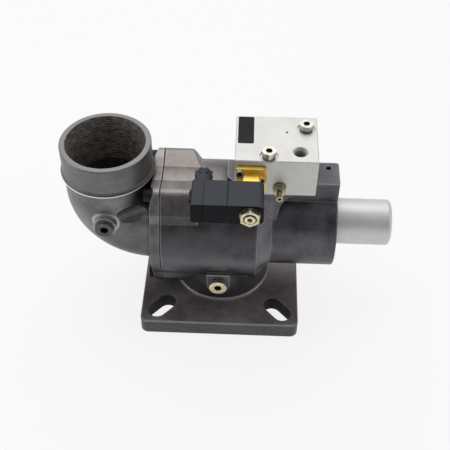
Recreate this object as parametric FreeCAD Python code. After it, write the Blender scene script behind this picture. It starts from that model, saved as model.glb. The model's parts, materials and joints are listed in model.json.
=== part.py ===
import FreeCAD, Part
import math
import os

# Air compressor intake valve: a cast body on a slotted square plate, an inlet elbow with a hose neck,
# a sprung disc valve worked by an air piston, and a control block with a solenoid pilot valve.
# All sizes are in millimetres. The origin is the middle of the outlet bore in the plate's underside.
# +X runs along the barrel towards the silver cap, +Y to the back, +Z up out of the inlet neck.

Vector = FreeCAD.Vector
TO_RIGHT = Vector(1, 0, 0)
TO_LEFT = Vector(-1, 0, 0)
TO_BACK = Vector(0, 1, 0)
TO_FRONT = Vector(0, -1, 0)
UP = Vector(0, 0, 1)
DOWN = Vector(0, 0, -1)

# Clearances shared by the fits
screw_clearance = 0.05
running_clearance = 0.05
bolt_hole_clearance = 0.4
seating_gap = 0.1
match_tolerance = 0.0001

# Base plate and neck of the body casting
plate_side = 166.0
plate_thick = 18.0
plate_corner_r = 8.0
plate_edge_break = 1.0
slot_width = 19.0
slot_travel = 15.0
slot_offset = 61.2
slot_angle = 48.0
neck_r = 50.0
neck_foot_r = 4.0
outlet_bore_r = 40.0
outlet_bore_length = 40.0
outlet_core_r = 39.2

# Barrel, bevel and air cylinder of the body casting
barrel_height = 93.3
barrel_r = 60.5
barrel_wall = 7.5
mouth_x = -59.6
bevel_start_x = 36.4
cylinder_r = 46.3
cylinder_wall = 8.3
cylinder_end_x = 116.0
cylinder_end_round = 2.0
partition_x = 34.0
partition_thick = 12.0
guide_boss_r = 15.0
guide_boss_length = 12.0

# Screw lobes round the body mouth and the elbow flange
lobe_y = 29.5
lobe_z = 56.0
lobe_r = 8.9
lobe_shoulder_angle = 136.0
lobe_shoulder_r = 65.0
lobe_foot_angle = 143.5
lobe_crease_angle = 100.0
lobe_length = 28.0
lobe_run_out = 10.0
lobe_knee_share = 0.6
lobe_knee_rise = 0.35

# Saddle pad and screw lug on top of the body
pad_rise = 66.9
pad_left_x = 5.0
pad_front_y = -17.0
pad_back_y = 15.0
pad_corner_cut = 7.0
pad_end_r = 2.5
pad_hole_x = 105.4
pad_hole_y = 7.0
pad_hole_r = 3.0
pad_hole_depth = 14.0
lug_front_y = -33.2
lug_left_x = 33.0
lug_top_right = (69.0, 64.2)
lug_shoulder = (61.6, 56.7)
lug_waist = (57.6, 45.7)
lug_belly = (54.6, 32.2)
lug_foot = (44.0, 17.7)
lug_edge_round = 1.5

# Inlet elbow
gasket_thick = 1.0
flange_thick = 9.4
flange_bore_r = 38.0
flange_bevel_reach = 3.5
flange_bevel_depth = 5.0
hose_neck_r = 45.0
hose_neck_wall = 5.65
hose_neck_edge = 0.8
hose_stop_step = 2.0
hose_stop_top_rise = 26.6
hose_stop_low_rise = 23.2
hose_stop_rim = 0.8
hose_stop_under = 2.2
elbow_tube_inset = 1.1
bend_inner_r = 0.6
elbow_wall = 6.5
inlet_rise = 54.1
scoop_r = 13.0
scoop_long_r = 60.0
scoop_half_length = 18.0
scoop_depth = 3.4
scoop_drop = 6.3
scoop_turn = 32.0

# Flange screws, M8
m8_r = 4.0
m8_head_r = 6.5
m8_head_height = 8.0
m8_socket_flats = 6.0
m8_socket_depth = 4.0
elbow_spotface_depth = 1.7
elbow_screw_grip = 16.0
elbow_tap_spare = 4.0

# Screwed plugs, G1/4 with a hexagon socket
g14_r = 6.58
plug_head_r = 9.0
plug_head_height = 3.0
plug_thread_length = 8.0
plug_socket_flats = 6.5
plug_socket_depth = 5.0
plug_washer_thick = 1.0
plug_boss_r = 12.0
elbow_boss_r = 11.5
neck_boss_x = -2.0
neck_boss_z = 50.4
neck_boss_front_y = -58.0
neck_boss_top_drop = 27.3
elbow_boss_drop = 14.3
elbow_boss_out = 6.1

# Valve seat, disc and stem
seat_recess_r = 56.5
seat_ring_thick = 6.0
seat_bore_r = 36.0
seat_lip_r = 39.5
seat_lip_height = 2.0
disc_r = 44.0
disc_rim_thick = 5.0
disc_cone_x = 5.5
disc_hub_r = 16.0
disc_hub_length = 6.0
disc_seal_inner_r = 34.0
disc_seal_outer_r = 41.5
disc_seal_thick = 4.0
disc_seal_proud = 1.0
stem_r = 8.0
stem_end_r = 5.0
stem_thread_out = 11.5
m10_flats = 16.0
m10_height = 8.0
bush_outer_r = 11.0
stem_seal_outer_r = 13.0
stem_seal_height = 4.6

# Piston, spring and cap
piston_gap = 10.0
piston_thick = 18.0
piston_skirt_wall = 4.0
piston_web_thick = 7.0
piston_hub_r = 18.5
piston_hub_length = 18.0
piston_hub_bore_r = 12.0
piston_nut_offset = 2.0
piston_groove_width = 4.0
piston_groove_depth = 3.0
spring_mean_r = 15.4
spring_wire_r = 1.6
spring_turns = 7.0
cap_r = 23.9
cap_bore_r = 20.2
cap_end_x = 174.4
cap_end_wall = 6.6
cap_end_round = 4.0
cap_flange_x = 101.0
cap_flange_thick = 9.0
cap_groove_width = 3.0
cap_groove_depth = 2.2
ring_thick = 2.4
ring_width = 5.0
ring_bite = 1.6
ring_gap_angle = 36.0
ring_ear_r = 3.6
ring_ear_hole_r = 1.3

# Control block
block_left_x = 12.1
block_length = 79.0
block_depth = 67.3
block_height = 42.2
block_corner_r = 2.0
block_edge_break = 0.8
block_screw_a = (44.1, -25.6)
block_screw_b = (80.1, 15.8)
block_spotface_r = 8.8
block_spotface_depth = 1.5
block_screw_length = 60.0
block_tap_spare = 2.0
port_x = 74.0
port_y = -18.7
port_depth = 14.0
port_mouth_r = 7.5
vent_x = 61.3
vent_y = 9.6
vent_r = 1.1
vent_depth = 9.0
passage_r = 1.8
cross_passage_y = -8.0
control_passage_x = 51.0
control_passage_r = 3.0
block_seal_inner_r = 4.2
block_seal_outer_r = 6.6
block_seal_thick = 1.8

# Adjusting screw in the block's front face
adjuster_x = 55.6
adjuster_rise = 9.8
adjuster_r = 3.2
adjuster_front = 16.8
adjuster_thread_in = 16.0
adjuster_tip_length = 4.0
adjuster_tip_r = 1.2
adjuster_socket_flats = 3.0
adjuster_socket_depth = 4.0
adjuster_seal_groove_r = 2.0
adjuster_seal_width = 1.6
adjuster_seal_place = 11.0
adjuster_travel = 2.0
locknut_flats = 10.0
locknut_height = 9.3
locknut_collar_r = 5.9
locknut_collar_height = 3.6
locknut_recess_r = 6.6
locknut_recess_depth = 1.2

# Solenoid pilot valve
valve_left_x = 14.0
valve_width = 28.0
valve_rise = 7.1
valve_height = 29.2
valve_gasket_thick = 0.8
valve_flange_thick = 4.4
valve_corner_r = 2.5
pilot_x = 28.0
pilot_rise = 21.5
pilot_seat_y = -44.0
pilot_orifice_r = 1.2
pilot_return_drop = 4.8
pilot_crown_r = 2.4
pilot_crown_height = 0.8
valve_core_width = 19.0
valve_core_height = 19.0
valve_front_y = -51.1
valve_cavity_r = 6.6
valve_boss_r = 4.2
valve_boss_front_y = -44.0
valve_screw_a_x = 17.4
valve_screw_a_rise = 32.4
valve_screw_b_x = 38.4
valve_screw_b_rise = 26.1
m4_r = 2.0
m4_head_r = 3.5
m4_head_height = 3.4
m4_socket_flats = 3.0
m4_socket_depth = 2.0
valve_screw_depth = 5.4
tube_outer_r = 5.0
tube_inner_r = 4.1
tube_collar_r = 6.4
tube_collar_height = 1.2
tube_stud_out = 6.4
tube_stud_hole_r = 2.3
tube_stud_hole_depth = 3.0
plunger_r = 4.04
plunger_length = 23.0
plunger_foot_r = 5.6
plunger_foot_height = 1.0
plunger_travel = 1.5
plunger_seal_r = 2.8
plunger_seal_thick = 0.8
plunger_spring_turns = 2.0
plunger_spring_wire_r = 0.25

# Coil, nut, connector and gland
coil_left_x = 7.6
coil_right_x = 40.5
coil_depth = 33.4
coil_height = 22.6
coil_gap = 0.1
coil_corner_r = 5.5
nut_flange_r = 10.0
nut_flange_thick = 1.5
nut_flats = 17.0
nut_height = 5.4
connector_length = 33.0
connector_gasket_thick = 1.0
connector_corner_r = 2.5
connector_step = 1.2
connector_lid_length = 11.0
gland_offset = 9.7
gland_thread_r = 7.5
gland_thread_length = 6.0
gland_bore_r = 4.0
gland_nut_r = 9.2
gland_nut_tip_r = 7.6
gland_nut_length = 20.0
gland_nut_foot = 3.0
gland_lug_count = 8
gland_lug_r = 1.5
gland_lug_length = 7.0
gland_lug_place = 7.4
gland_nut_gap = 0.6
grommet_length = 12.0
connector_screw_r = 1.5
connector_screw_head_r = 2.8
connector_screw_head_height = 2.0
connector_screw_length = 37.0
connector_screw_slot = 0.8

# Places that follow from the sizes above
axis_point = Vector(0, 0, barrel_height)
chamber_r = barrel_r - barrel_wall
cylinder_bore_r = cylinder_r - cylinder_wall
bevel_end_x = bevel_start_x + barrel_r - cylinder_r
cylinder_floor_x = partition_x + partition_thick
gasket_x = mouth_x - gasket_thick
flange_x = gasket_x - flange_thick
elbow_tube_r = hose_neck_r - elbow_tube_inset
bend_r = elbow_tube_r + bend_inner_r
bend_z = barrel_height + bend_r
neck_axis_x = flange_x - bend_r
hose_neck_bore_r = hose_neck_r - hose_neck_wall
hose_stop_r = hose_neck_r + hose_stop_step
hose_stop_top_z = bend_z + hose_stop_top_rise
hose_stop_low_z = bend_z + hose_stop_low_rise
inlet_top_z = bend_z + inlet_rise
scoop_z = bend_z - scoop_drop
elbow_boss_z = bend_z - elbow_boss_drop
elbow_boss_front_y = -elbow_tube_r - elbow_boss_out
neck_boss_top_z = barrel_height - neck_boss_top_drop
pad_top = barrel_height + pad_rise
adjuster_z = pad_top + adjuster_rise
valve_bottom_z = pad_top + valve_rise
pilot_z = pad_top + pilot_rise
valve_screw_a = (valve_screw_a_x, pad_top + valve_screw_a_rise)
valve_screw_b = (valve_screw_b_x, pad_top + valve_screw_b_rise)
block_right_x = block_left_x + block_length
block_front_y = -block_depth / 2
block_back_y = block_depth / 2
block_top_z = pad_top + block_height
m8_hole_r = m8_r + bolt_hole_clearance
m8_tapped_r = m8_r + screw_clearance
seat_face_x = mouth_x + seat_ring_thick
seat_lip_x = seat_face_x + seat_lip_height
seal_face_x = seat_lip_x + seating_gap
disc_face_x = seal_face_x + disc_seal_proud
disc_back_x = disc_face_x + disc_rim_thick
disc_hub_x = disc_back_x + disc_cone_x
disc_hub_end_x = disc_hub_x + disc_hub_length
piston_x = cylinder_floor_x + piston_gap
piston_end_x = piston_x + piston_thick
piston_hub_end_x = piston_end_x + piston_hub_length
piston_web_x = piston_x + piston_web_thick
piston_nut_x = piston_end_x + piston_nut_offset
cap_flange_end_x = cap_flange_x + cap_flange_thick
cap_floor_x = cap_end_x - cap_end_wall
valve_right_x = valve_left_x + valve_width
valve_top_z = valve_bottom_z + valve_height
valve_back_y = block_front_y - valve_gasket_thick
valve_flange_y = valve_back_y - valve_flange_thick
coil_back_y = valve_front_y - coil_gap
coil_front_y = coil_back_y - coil_depth
coil_bottom_z = pilot_z - coil_height / 2
coil_top_z = pilot_z + coil_height / 2
connector_right_x = coil_left_x - connector_gasket_thick
connector_left_x = connector_right_x - connector_length
gland_x = connector_left_x + gland_offset
adjuster_end_y = block_front_y - adjuster_front
adjuster_seal_y = block_front_y + adjuster_seal_place
plunger_foot_y = pilot_seat_y - pilot_crown_height - seating_gap
tube_core_y = plunger_foot_y - plunger_length - plunger_travel - seating_gap
tube_end_y = coil_front_y - tube_stud_out


# Shape helpers

def rod(radius, start, direction, length):
    return Part.makeCylinder(radius, length, start, direction)


def ring(outer_r, inner_r, start, direction, length):
    return rod(outer_r, start, direction, length).cut(rod(inner_r, start, direction, length))


def block_between(x0, y0, z0, x1, y1, z1):
    return Part.makeBox(x1 - x0, y1 - y0, z1 - z0, Vector(x0, y0, z0))


def hexagon(flats, start, direction, length, first_angle=0):
    """A hexagonal bar with the given distance across its flats."""
    corner_r = flats / math.sqrt(3)
    turn = FreeCAD.Rotation(UP, direction)
    corners = []
    for step in range(7):
        angle = math.radians(60 * step + first_angle)
        flat_point = Vector(corner_r * math.cos(angle), corner_r * math.sin(angle), 0)
        corners.append(start + turn.multVec(flat_point))
    face = Part.Face(Part.makePolygon(corners))
    return face.extrude(direction * length)


def turned(profile, height=barrel_height):
    """A piece turned about the barrel's axis, from (x, radius) points."""
    points = [Vector(x, 0, height + r) for x, r in profile]
    points.append(points[0])
    face = Part.Face(Part.makePolygon(points))
    return face.revolve(Vector(0, 0, height), TO_RIGHT, 360)


def on_axis(x):
    return Vector(x, 0, barrel_height)


def parallel_edges(shape, direction):
    """Straight edges of a shape that run along a direction."""
    found = []
    for edge in shape.Edges:
        if not isinstance(edge.Curve, Part.Line):
            continue
        if abs(edge.tangentAt(edge.FirstParameter).dot(direction)) > 0.999:
            found.append(edge)
    return found


def rounded_box(x0, y0, z0, x1, y1, z1, radius, direction, wanted=None):
    """A box whose edges along one direction are rounded, all of them or those that are wanted."""
    box = block_between(x0, y0, z0, x1, y1, z1)
    edges = parallel_edges(box, direction)
    if wanted:
        edges = [edge for edge in edges if wanted(edge.CenterOfMass)]
    return box.makeFillet(radius, edges)


def edges_at_height(shape, z):
    """Edges that lie flat at one height."""
    found = []
    for edge in shape.Edges:
        bounds = edge.BoundBox
        if abs(bounds.ZMin - z) < match_tolerance and abs(bounds.ZMax - z) < match_tolerance:
            found.append(edge)
    return found


def fused(pieces):
    return pieces[0].multiFuse(pieces[1:]).removeSplitter()


def group(pieces):
    return Part.makeCompound(pieces)


def socket_screw(under_head, direction, r, head_r, head_height, flats, socket_depth, length):
    """A socket head cap screw; direction points from the head to the tip."""
    head_top = under_head - direction * head_height
    screw = fused([
        rod(head_r, head_top, direction, head_height),
        rod(r, under_head, direction, length),
    ])
    return screw.cut(hexagon(flats, head_top, direction, socket_depth))


# Lobed outline that the body mouth, gasket and elbow flange share

def barrel_circle_point(angle):
    return barrel_r * math.cos(angle), barrel_r * math.sin(angle)


def lobe_outline():
    """Corner points and arc of the upper front lobe in the (y, z) plane about the barrel's axis."""
    crease = barrel_circle_point(math.radians(lobe_crease_angle))
    foot = barrel_circle_point(math.radians(lobe_foot_angle))
    shoulder_angle = math.radians(lobe_shoulder_angle)
    shoulder = (
        lobe_shoulder_r * math.cos(shoulder_angle),
        lobe_shoulder_r * math.sin(shoulder_angle),
    )
    top = tangent_point(crease, (-lobe_y, lobe_z), lobe_r, -1)
    side = tangent_point(shoulder, (-lobe_y, lobe_z), lobe_r, 1)
    return crease, top, side, shoulder, foot


def tangent_point(outside, centre, radius, side):
    """Where a line from a point outside a circle touches it; side picks one of the two."""
    dy = outside[0] - centre[0]
    dz = outside[1] - centre[1]
    distance = math.hypot(dy, dz)
    angle = math.atan2(dz, dy) - side * math.acos(radius / distance)
    return centre[0] + radius * math.cos(angle), centre[1] + radius * math.sin(angle)


def lobe_bar(x, length):
    """A bar with the section of the upper front lobe, closed through the barrel's axis."""
    crease, top, side, shoulder, foot = lobe_outline()

    def point(pair):
        return Vector(x, pair[0], barrel_height + pair[1])

    middle_angle = math.atan2(top[1] + side[1] - 2 * lobe_z, top[0] + side[0] + 2 * lobe_y)
    middle = (-lobe_y + lobe_r * math.cos(middle_angle), lobe_z + lobe_r * math.sin(middle_angle))
    outline = Part.Wire([
        Part.LineSegment(on_axis(x), point(crease)).toShape(),
        Part.LineSegment(point(crease), point(top)).toShape(),
        Part.Arc(point(top), point(middle), point(side)).toShape(),
        Part.LineSegment(point(side), point(shoulder)).toShape(),
        Part.LineSegment(point(shoulder), point(foot)).toShape(),
        Part.LineSegment(point(foot), on_axis(x)).toShape(),
    ])
    return Part.Face(outline).extrude(TO_RIGHT * length)


def four_lobes(x, length):
    """The lobe bar mirrored to the four screw places."""
    first = lobe_bar(x, length)
    lower = first.mirror(axis_point, UP)
    bars = [first, lower]
    for bar in (first, lower):
        bars.append(bar.mirror(axis_point, TO_BACK))
    return bars


def lobed_plate(x, thick, bore_r):
    plate = fused([rod(barrel_r, on_axis(x), TO_RIGHT, thick)] + four_lobes(x, thick))
    return plate.cut(rod(bore_r, on_axis(x), TO_RIGHT, thick))


def lobe_centres(x):
    places = []
    for side_y in (-1, 1):
        for side_z in (-1, 1):
            places.append(Vector(x, side_y * lobe_y, barrel_height + side_z * lobe_z))
    return places


# Body casting

def slot_cutter(centre_x, centre_y, angle):
    """A through slot with round ends, turned in the plate's plane."""
    reach = slot_travel / 2
    depth = plate_thick
    bar = fused([
        block_between(-reach, -slot_width / 2, 0, reach, slot_width / 2, depth),
        rod(slot_width / 2, Vector(-reach, 0, 0), UP, depth),
        rod(slot_width / 2, Vector(reach, 0, 0), UP, depth),
    ])
    bar.rotate(Vector(0, 0, 0), UP, angle)
    bar.translate(Vector(centre_x, centre_y, 0))
    return bar


def base_plate():
    half = plate_side / 2
    plate = rounded_box(-half, -half, 0, half, half, plate_thick, plate_corner_r, UP)
    plate = plate.makeChamfer(plate_edge_break, edges_at_height(plate, plate_thick))
    for side_x in (-1, 1):
        for side_y in (-1, 1):
            angle = slot_angle * side_x * side_y
            plate = plate.cut(slot_cutter(side_x * slot_offset, side_y * slot_offset, angle))
    return plate


def neck_outside():
    """The upright neck with a hollow round where it meets the plate."""
    foot_centre = Vector(neck_r + neck_foot_r, 0, plate_thick + neck_foot_r)
    foot_start = Vector(neck_r + neck_foot_r, 0, plate_thick)
    foot_end = Vector(neck_r, 0, plate_thick + neck_foot_r)
    slant = neck_foot_r / math.sqrt(2)
    foot_middle = foot_centre + Vector(-slant, 0, -slant)
    below = Vector(neck_r + neck_foot_r, 0, plate_thick - plate_edge_break)
    outline = Part.Wire([
        Part.LineSegment(Vector(0, 0, below.z), below).toShape(),
        Part.LineSegment(below, foot_start).toShape(),
        Part.Arc(foot_start, foot_middle, foot_end).toShape(),
        Part.LineSegment(foot_end, Vector(neck_r, 0, barrel_height)).toShape(),
        Part.LineSegment(Vector(neck_r, 0, barrel_height), axis_point).toShape(),
        Part.LineSegment(axis_point, Vector(0, 0, below.z)).toShape(),
    ])
    return Part.Face(outline).revolve(Vector(0, 0, 0), UP, 360)


def barrel_outside():
    """The barrel, its bevel and the air cylinder, with a rounded far end."""
    slant = cylinder_end_round * (1 - 1 / math.sqrt(2))

    def point(x, r):
        return Vector(x, 0, barrel_height + r)

    round_start = point(cylinder_end_x - cylinder_end_round, cylinder_r)
    round_middle = point(cylinder_end_x - slant, cylinder_r - slant)
    round_end = point(cylinder_end_x, cylinder_r - cylinder_end_round)
    outline = Part.Wire([
        Part.LineSegment(point(mouth_x, 0), point(mouth_x, barrel_r)).toShape(),
        Part.LineSegment(point(mouth_x, barrel_r), point(bevel_start_x, barrel_r)).toShape(),
        Part.LineSegment(point(bevel_start_x, barrel_r), point(bevel_end_x, cylinder_r)).toShape(),
        Part.LineSegment(point(bevel_end_x, cylinder_r), round_start).toShape(),
        Part.Arc(round_start, round_middle, round_end).toShape(),
        Part.LineSegment(round_end, point(cylinder_end_x, 0)).toShape(),
        Part.LineSegment(point(cylinder_end_x, 0), point(mouth_x, 0)).toShape(),
    ])
    return Part.Face(outline).revolve(axis_point, TO_RIGHT, 360)


def body_lobes():
    """The four screw bosses behind the mouth, running out onto the barrel."""
    outermost = math.hypot(lobe_y, lobe_z) + 2 * lobe_r
    end_x = mouth_x + lobe_length
    envelope = turned([
        (mouth_x, 0),
        (mouth_x, outermost),
        (end_x, math.hypot(lobe_y, lobe_z) + lobe_r),
        (end_x + lobe_run_out * lobe_knee_share, barrel_r + lobe_knee_rise * lobe_r),
        (end_x + lobe_run_out, barrel_r - 1),
        (end_x + lobe_run_out, 0),
    ])
    bars = four_lobes(mouth_x, lobe_length + lobe_run_out)
    return [bar.common(envelope) for bar in bars]


def saddle_pad():
    """The raised pad under the control block, with a cut front corner at its left end."""
    pad = rounded_box(
        pad_left_x, pad_front_y, barrel_height, cylinder_end_x, pad_back_y, pad_top,
        pad_end_r, UP, lambda middle: middle.x > pad_left_x + 1,
    )
    corner = Vector(pad_left_x, pad_front_y, barrel_height)
    cut_face = Part.Face(Part.makePolygon([
        corner,
        corner + TO_RIGHT * pad_corner_cut,
        corner + TO_BACK * pad_corner_cut,
        corner,
    ]))
    return pad.cut(cut_face.extrude(UP * (pad_top - barrel_height)))


def screw_lug():
    """The lug in front of the pad that takes the control block's front screw."""

    def point(pair):
        return Vector(pair[0], 0, barrel_height + pair[1])

    top_left = Vector(lug_left_x, 0, pad_top)
    top_right = Vector(lug_top_right[0], 0, pad_top)
    bottom_left = Vector(lug_left_x, 0, barrel_height + lug_foot[1])
    outline = Part.Wire([
        Part.LineSegment(top_left, top_right).toShape(),
        Part.LineSegment(top_right, point(lug_top_right)).toShape(),
        Part.Arc(point(lug_top_right), point(lug_shoulder), point(lug_waist)).toShape(),
        Part.Arc(point(lug_waist), point(lug_belly), point(lug_foot)).toShape(),
        Part.LineSegment(point(lug_foot), bottom_left).toShape(),
        Part.LineSegment(bottom_left, top_left).toShape(),
    ])
    lug = Part.Face(outline).extrude(TO_FRONT * -lug_front_y)
    front_reach = lug_front_y + match_tolerance
    right_edges = [edge for edge in lug.Edges
                   if isinstance(edge.Curve, Part.Circle) and edge.BoundBox.YMax < front_reach]
    return lug.makeFillet(lug_edge_round, right_edges)


def neck_plug_boss():
    """The plug boss on the neck's front, carried up to the barrel."""
    boss = rod(plug_boss_r, Vector(neck_boss_x, neck_boss_front_y, neck_boss_z), TO_BACK, neck_r)
    web = block_between(
        neck_boss_x - plug_boss_r, neck_boss_front_y, neck_boss_z,
        neck_boss_x + plug_boss_r, neck_boss_front_y + neck_r, neck_boss_top_z,
    )
    return fused([boss, web])


def body_hollows():
    """Everything that is cored or machined out of the body."""
    below_partition = barrel_height - cylinder_r
    register = rod(outlet_bore_r, Vector(0, 0, 0), UP, outlet_bore_length)
    wide_core = rod(outlet_core_r, Vector(0, 0, 0), UP, below_partition)
    high_core = rod(outlet_core_r, Vector(0, 0, 0), UP, barrel_height).common(
        block_between(-outlet_core_r, -outlet_core_r, 0, partition_x, outlet_core_r, barrel_height)
    )
    chamber = turned([
        (mouth_x, 0),
        (mouth_x, chamber_r),
        (partition_x, chamber_r),
        (partition_x, guide_boss_r),
        (partition_x - guide_boss_length, guide_boss_r),
        (partition_x - guide_boss_length, 0),
    ])
    hollows = [
        register,
        wide_core,
        high_core,
        chamber,
        rod(seat_recess_r, on_axis(mouth_x), TO_RIGHT, seat_ring_thick),
        rod(bush_outer_r, on_axis(partition_x - guide_boss_length), TO_RIGHT,
            guide_boss_length + partition_thick),
        rod(stem_seal_outer_r, on_axis(cylinder_floor_x - stem_seal_height), TO_RIGHT, stem_seal_height),
        rod(cylinder_bore_r, on_axis(cylinder_floor_x), TO_RIGHT, cylinder_end_x - cylinder_floor_x),
        rod(cylinder_bore_r + ring_bite, on_axis(cap_flange_end_x), TO_RIGHT, ring_thick + seating_gap),
        rod(control_passage_r, Vector(control_passage_x, 0, pad_top), DOWN, pad_top - barrel_height),
        rod(pad_hole_r, Vector(pad_hole_x, pad_hole_y, pad_top), DOWN, pad_hole_depth),
        rod(g14_r, Vector(neck_boss_x, neck_boss_front_y, neck_boss_z), TO_BACK, neck_r),
    ]
    for centre in lobe_centres(mouth_x):
        hollows.append(rod(m8_tapped_r, centre, TO_RIGHT, elbow_screw_grip + elbow_tap_spare))
    for x, y in (block_screw_a, block_screw_b):
        reach = block_screw_length - block_height + block_spotface_depth + block_tap_spare
        hollows.append(rod(m8_tapped_r, Vector(x, y, pad_top), DOWN, reach))
    return hollows


def valve_body():
    outside = fused([base_plate(), neck_outside(), barrel_outside(), saddle_pad(), screw_lug(),
                     neck_plug_boss()] + body_lobes())
    return outside.cut(body_hollows())


# Inlet elbow and what closes it

def elbow_core(tube_r, neck_top_r, top_z, right_x, hollow=None):
    """The upright neck, quarter bend and level leg as one solid, each with the hollow taken from it first."""
    bend_centre = Vector(flange_x, 0, bend_z)
    start = Vector(neck_axis_x, 0, bend_z)
    section = Part.Face(Part.Wire(Part.Circle(start, UP, tube_r).toShape()))
    section.rotate(start, UP, 180)
    bend = section.revolve(bend_centre, TO_FRONT, 90)
    side = Part.makePolygon([
        start,
        start + TO_RIGHT * tube_r,
        Vector(neck_axis_x + neck_top_r, 0, top_z),
        Vector(neck_axis_x, 0, top_z),
        start,
    ])
    upright = Part.Face(side).revolve(start, UP, 360)
    leg = rod(tube_r, on_axis(flange_x), TO_RIGHT, right_x - flange_x)
    pieces = [bend, upright, leg]
    if hollow:
        pieces = [piece.cut(hollow) for piece in pieces]
    return fused(pieces)


def key_scoop():
    """A barrel-shaped cutter that leaves an eye-shaped hollow in the elbow's flank."""
    turn = math.radians(scoop_turn)
    outward = Vector(math.sin(turn), -math.cos(turn), 0)
    along = Vector(math.cos(turn), math.sin(turn), 0)
    middle = Vector(neck_axis_x, 0, scoop_z) + outward * (elbow_tube_r + scoop_r - scoop_depth)
    end_r = scoop_r - (scoop_long_r - math.sqrt(scoop_long_r ** 2 - scoop_half_length ** 2))
    near_end = middle - along * scoop_half_length
    far_end = middle + along * scoop_half_length
    outline = Part.Wire([
        Part.LineSegment(near_end, near_end + UP * end_r).toShape(),
        Part.Arc(near_end + UP * end_r, middle + UP * scoop_r, far_end + UP * end_r).toShape(),
        Part.LineSegment(far_end + UP * end_r, far_end).toShape(),
        Part.LineSegment(far_end, near_end).toShape(),
    ])
    return Part.Face(outline).revolve(middle, along, 360)


def hose_neck():
    """The turned neck for the hose, with a flared stop ring at its foot."""
    profile = [
        (0, inlet_top_z),
        (hose_neck_r - hose_neck_edge, inlet_top_z),
        (hose_neck_r, inlet_top_z - hose_neck_edge),
        (hose_neck_r, hose_stop_top_z),
        (hose_stop_r, hose_stop_low_z),
        (hose_stop_r, hose_stop_low_z - hose_stop_rim),
        (elbow_tube_r, hose_stop_low_z - hose_stop_rim - hose_stop_under),
        (0, hose_stop_low_z - hose_stop_rim - hose_stop_under),
        (0, inlet_top_z),
    ]
    points = [Vector(neck_axis_x + r, 0, z) for r, z in profile]
    return Part.Face(Part.makePolygon(points)).revolve(Vector(neck_axis_x, 0, 0), UP, 360)


def bevelled_flange():
    """The elbow's lobed flange, its outer rim turned to a bevel on the elbow's side."""
    reach = math.hypot(lobe_y, lobe_z) + lobe_r
    envelope = turned([
        (flange_x, 0),
        (flange_x, reach - flange_bevel_depth),
        (flange_x + flange_bevel_reach, reach),
        (gasket_x, reach),
        (gasket_x, 0),
    ])
    return lobed_plate(flange_x, flange_thick, flange_bore_r).common(envelope)


def inlet_elbow():
    boss = rod(elbow_boss_r, Vector(neck_axis_x, elbow_boss_front_y, elbow_boss_z), TO_BACK,
               -elbow_boss_front_y)
    outside = elbow_core(elbow_tube_r, elbow_tube_r, hose_stop_low_z, gasket_x, key_scoop())
    outside = fused([outside, hose_neck(), boss, bevelled_flange()])
    cutters = [elbow_core(elbow_tube_r - elbow_wall, hose_neck_bore_r, inlet_top_z, gasket_x)]
    cutters.append(rod(g14_r, Vector(neck_axis_x, elbow_boss_front_y, elbow_boss_z), TO_BACK,
                       -elbow_boss_front_y))
    for centre in lobe_centres(flange_x):
        cutters.append(rod(m8_hole_r, centre, TO_RIGHT, flange_thick))
        cutters.append(rod(m8_head_r + bolt_hole_clearance, centre, TO_RIGHT, elbow_spotface_depth))
    return outside.cut(cutters)


def elbow_gasket():
    gasket = lobed_plate(gasket_x, gasket_thick, flange_bore_r)
    holes = [rod(m8_hole_r, centre, TO_RIGHT, gasket_thick) for centre in lobe_centres(gasket_x)]
    return gasket.cut(holes)


def elbow_screws():
    screws = []
    for centre in lobe_centres(flange_x + elbow_spotface_depth):
        length = flange_thick - elbow_spotface_depth + gasket_thick + elbow_screw_grip
        screws.append(socket_screw(centre, TO_RIGHT, m8_r, m8_head_r, m8_head_height,
                                   m8_socket_flats, m8_socket_depth, length))
    return group(screws)


def screwed_plug(mouth):
    """A G1/4 plug seen from the front; mouth is the middle of the boss face."""
    seat = mouth + TO_FRONT * plug_washer_thick
    face = seat + TO_FRONT * plug_head_height
    plug = fused([
        rod(plug_head_r, face, TO_BACK, plug_head_height),
        rod(g14_r - screw_clearance, seat, TO_BACK, plug_thread_length),
    ])
    return plug.cut(hexagon(plug_socket_flats, face, TO_BACK, plug_socket_depth))


def plug_washer(mouth):
    return ring(plug_head_r, g14_r, mouth + TO_FRONT * plug_washer_thick, TO_BACK, plug_washer_thick)


# Seat, disc, stem and piston

def seat_ring():
    chamfer = seat_lip_height / 2
    outer_r = seat_recess_r - seating_gap
    return turned([
        (mouth_x, flange_bore_r),
        (mouth_x, outer_r),
        (seat_face_x, outer_r),
        (seat_face_x, seat_lip_r + chamfer),
        (seat_lip_x, seat_lip_r),
        (seat_lip_x, seat_bore_r),
        (mouth_x + chamfer * 2, seat_bore_r),
    ])


def valve_disc():
    groove_depth = disc_seal_thick - disc_seal_proud
    return turned([
        (disc_face_x, stem_end_r + screw_clearance),
        (disc_face_x, disc_seal_inner_r),
        (disc_face_x + groove_depth, disc_seal_inner_r),
        (disc_face_x + groove_depth, disc_seal_outer_r),
        (disc_face_x, disc_seal_outer_r),
        (disc_face_x, disc_r),
        (disc_back_x, disc_r),
        (disc_hub_x, disc_hub_r),
        (disc_hub_end_x, disc_hub_r),
        (disc_hub_end_x, stem_end_r + screw_clearance),
    ])


def disc_seal():
    return ring(disc_seal_outer_r, disc_seal_inner_r, on_axis(seal_face_x), TO_RIGHT, disc_seal_thick)


def valve_stem():
    left_x = disc_face_x - stem_thread_out
    right_x = piston_nut_x + stem_thread_out
    return fused([
        rod(stem_end_r, on_axis(left_x), TO_RIGHT, disc_hub_end_x - left_x),
        rod(stem_r, on_axis(disc_hub_end_x), TO_RIGHT, piston_x - disc_hub_end_x),
        rod(stem_end_r, on_axis(piston_x), TO_RIGHT, right_x - piston_x),
    ])


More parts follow.
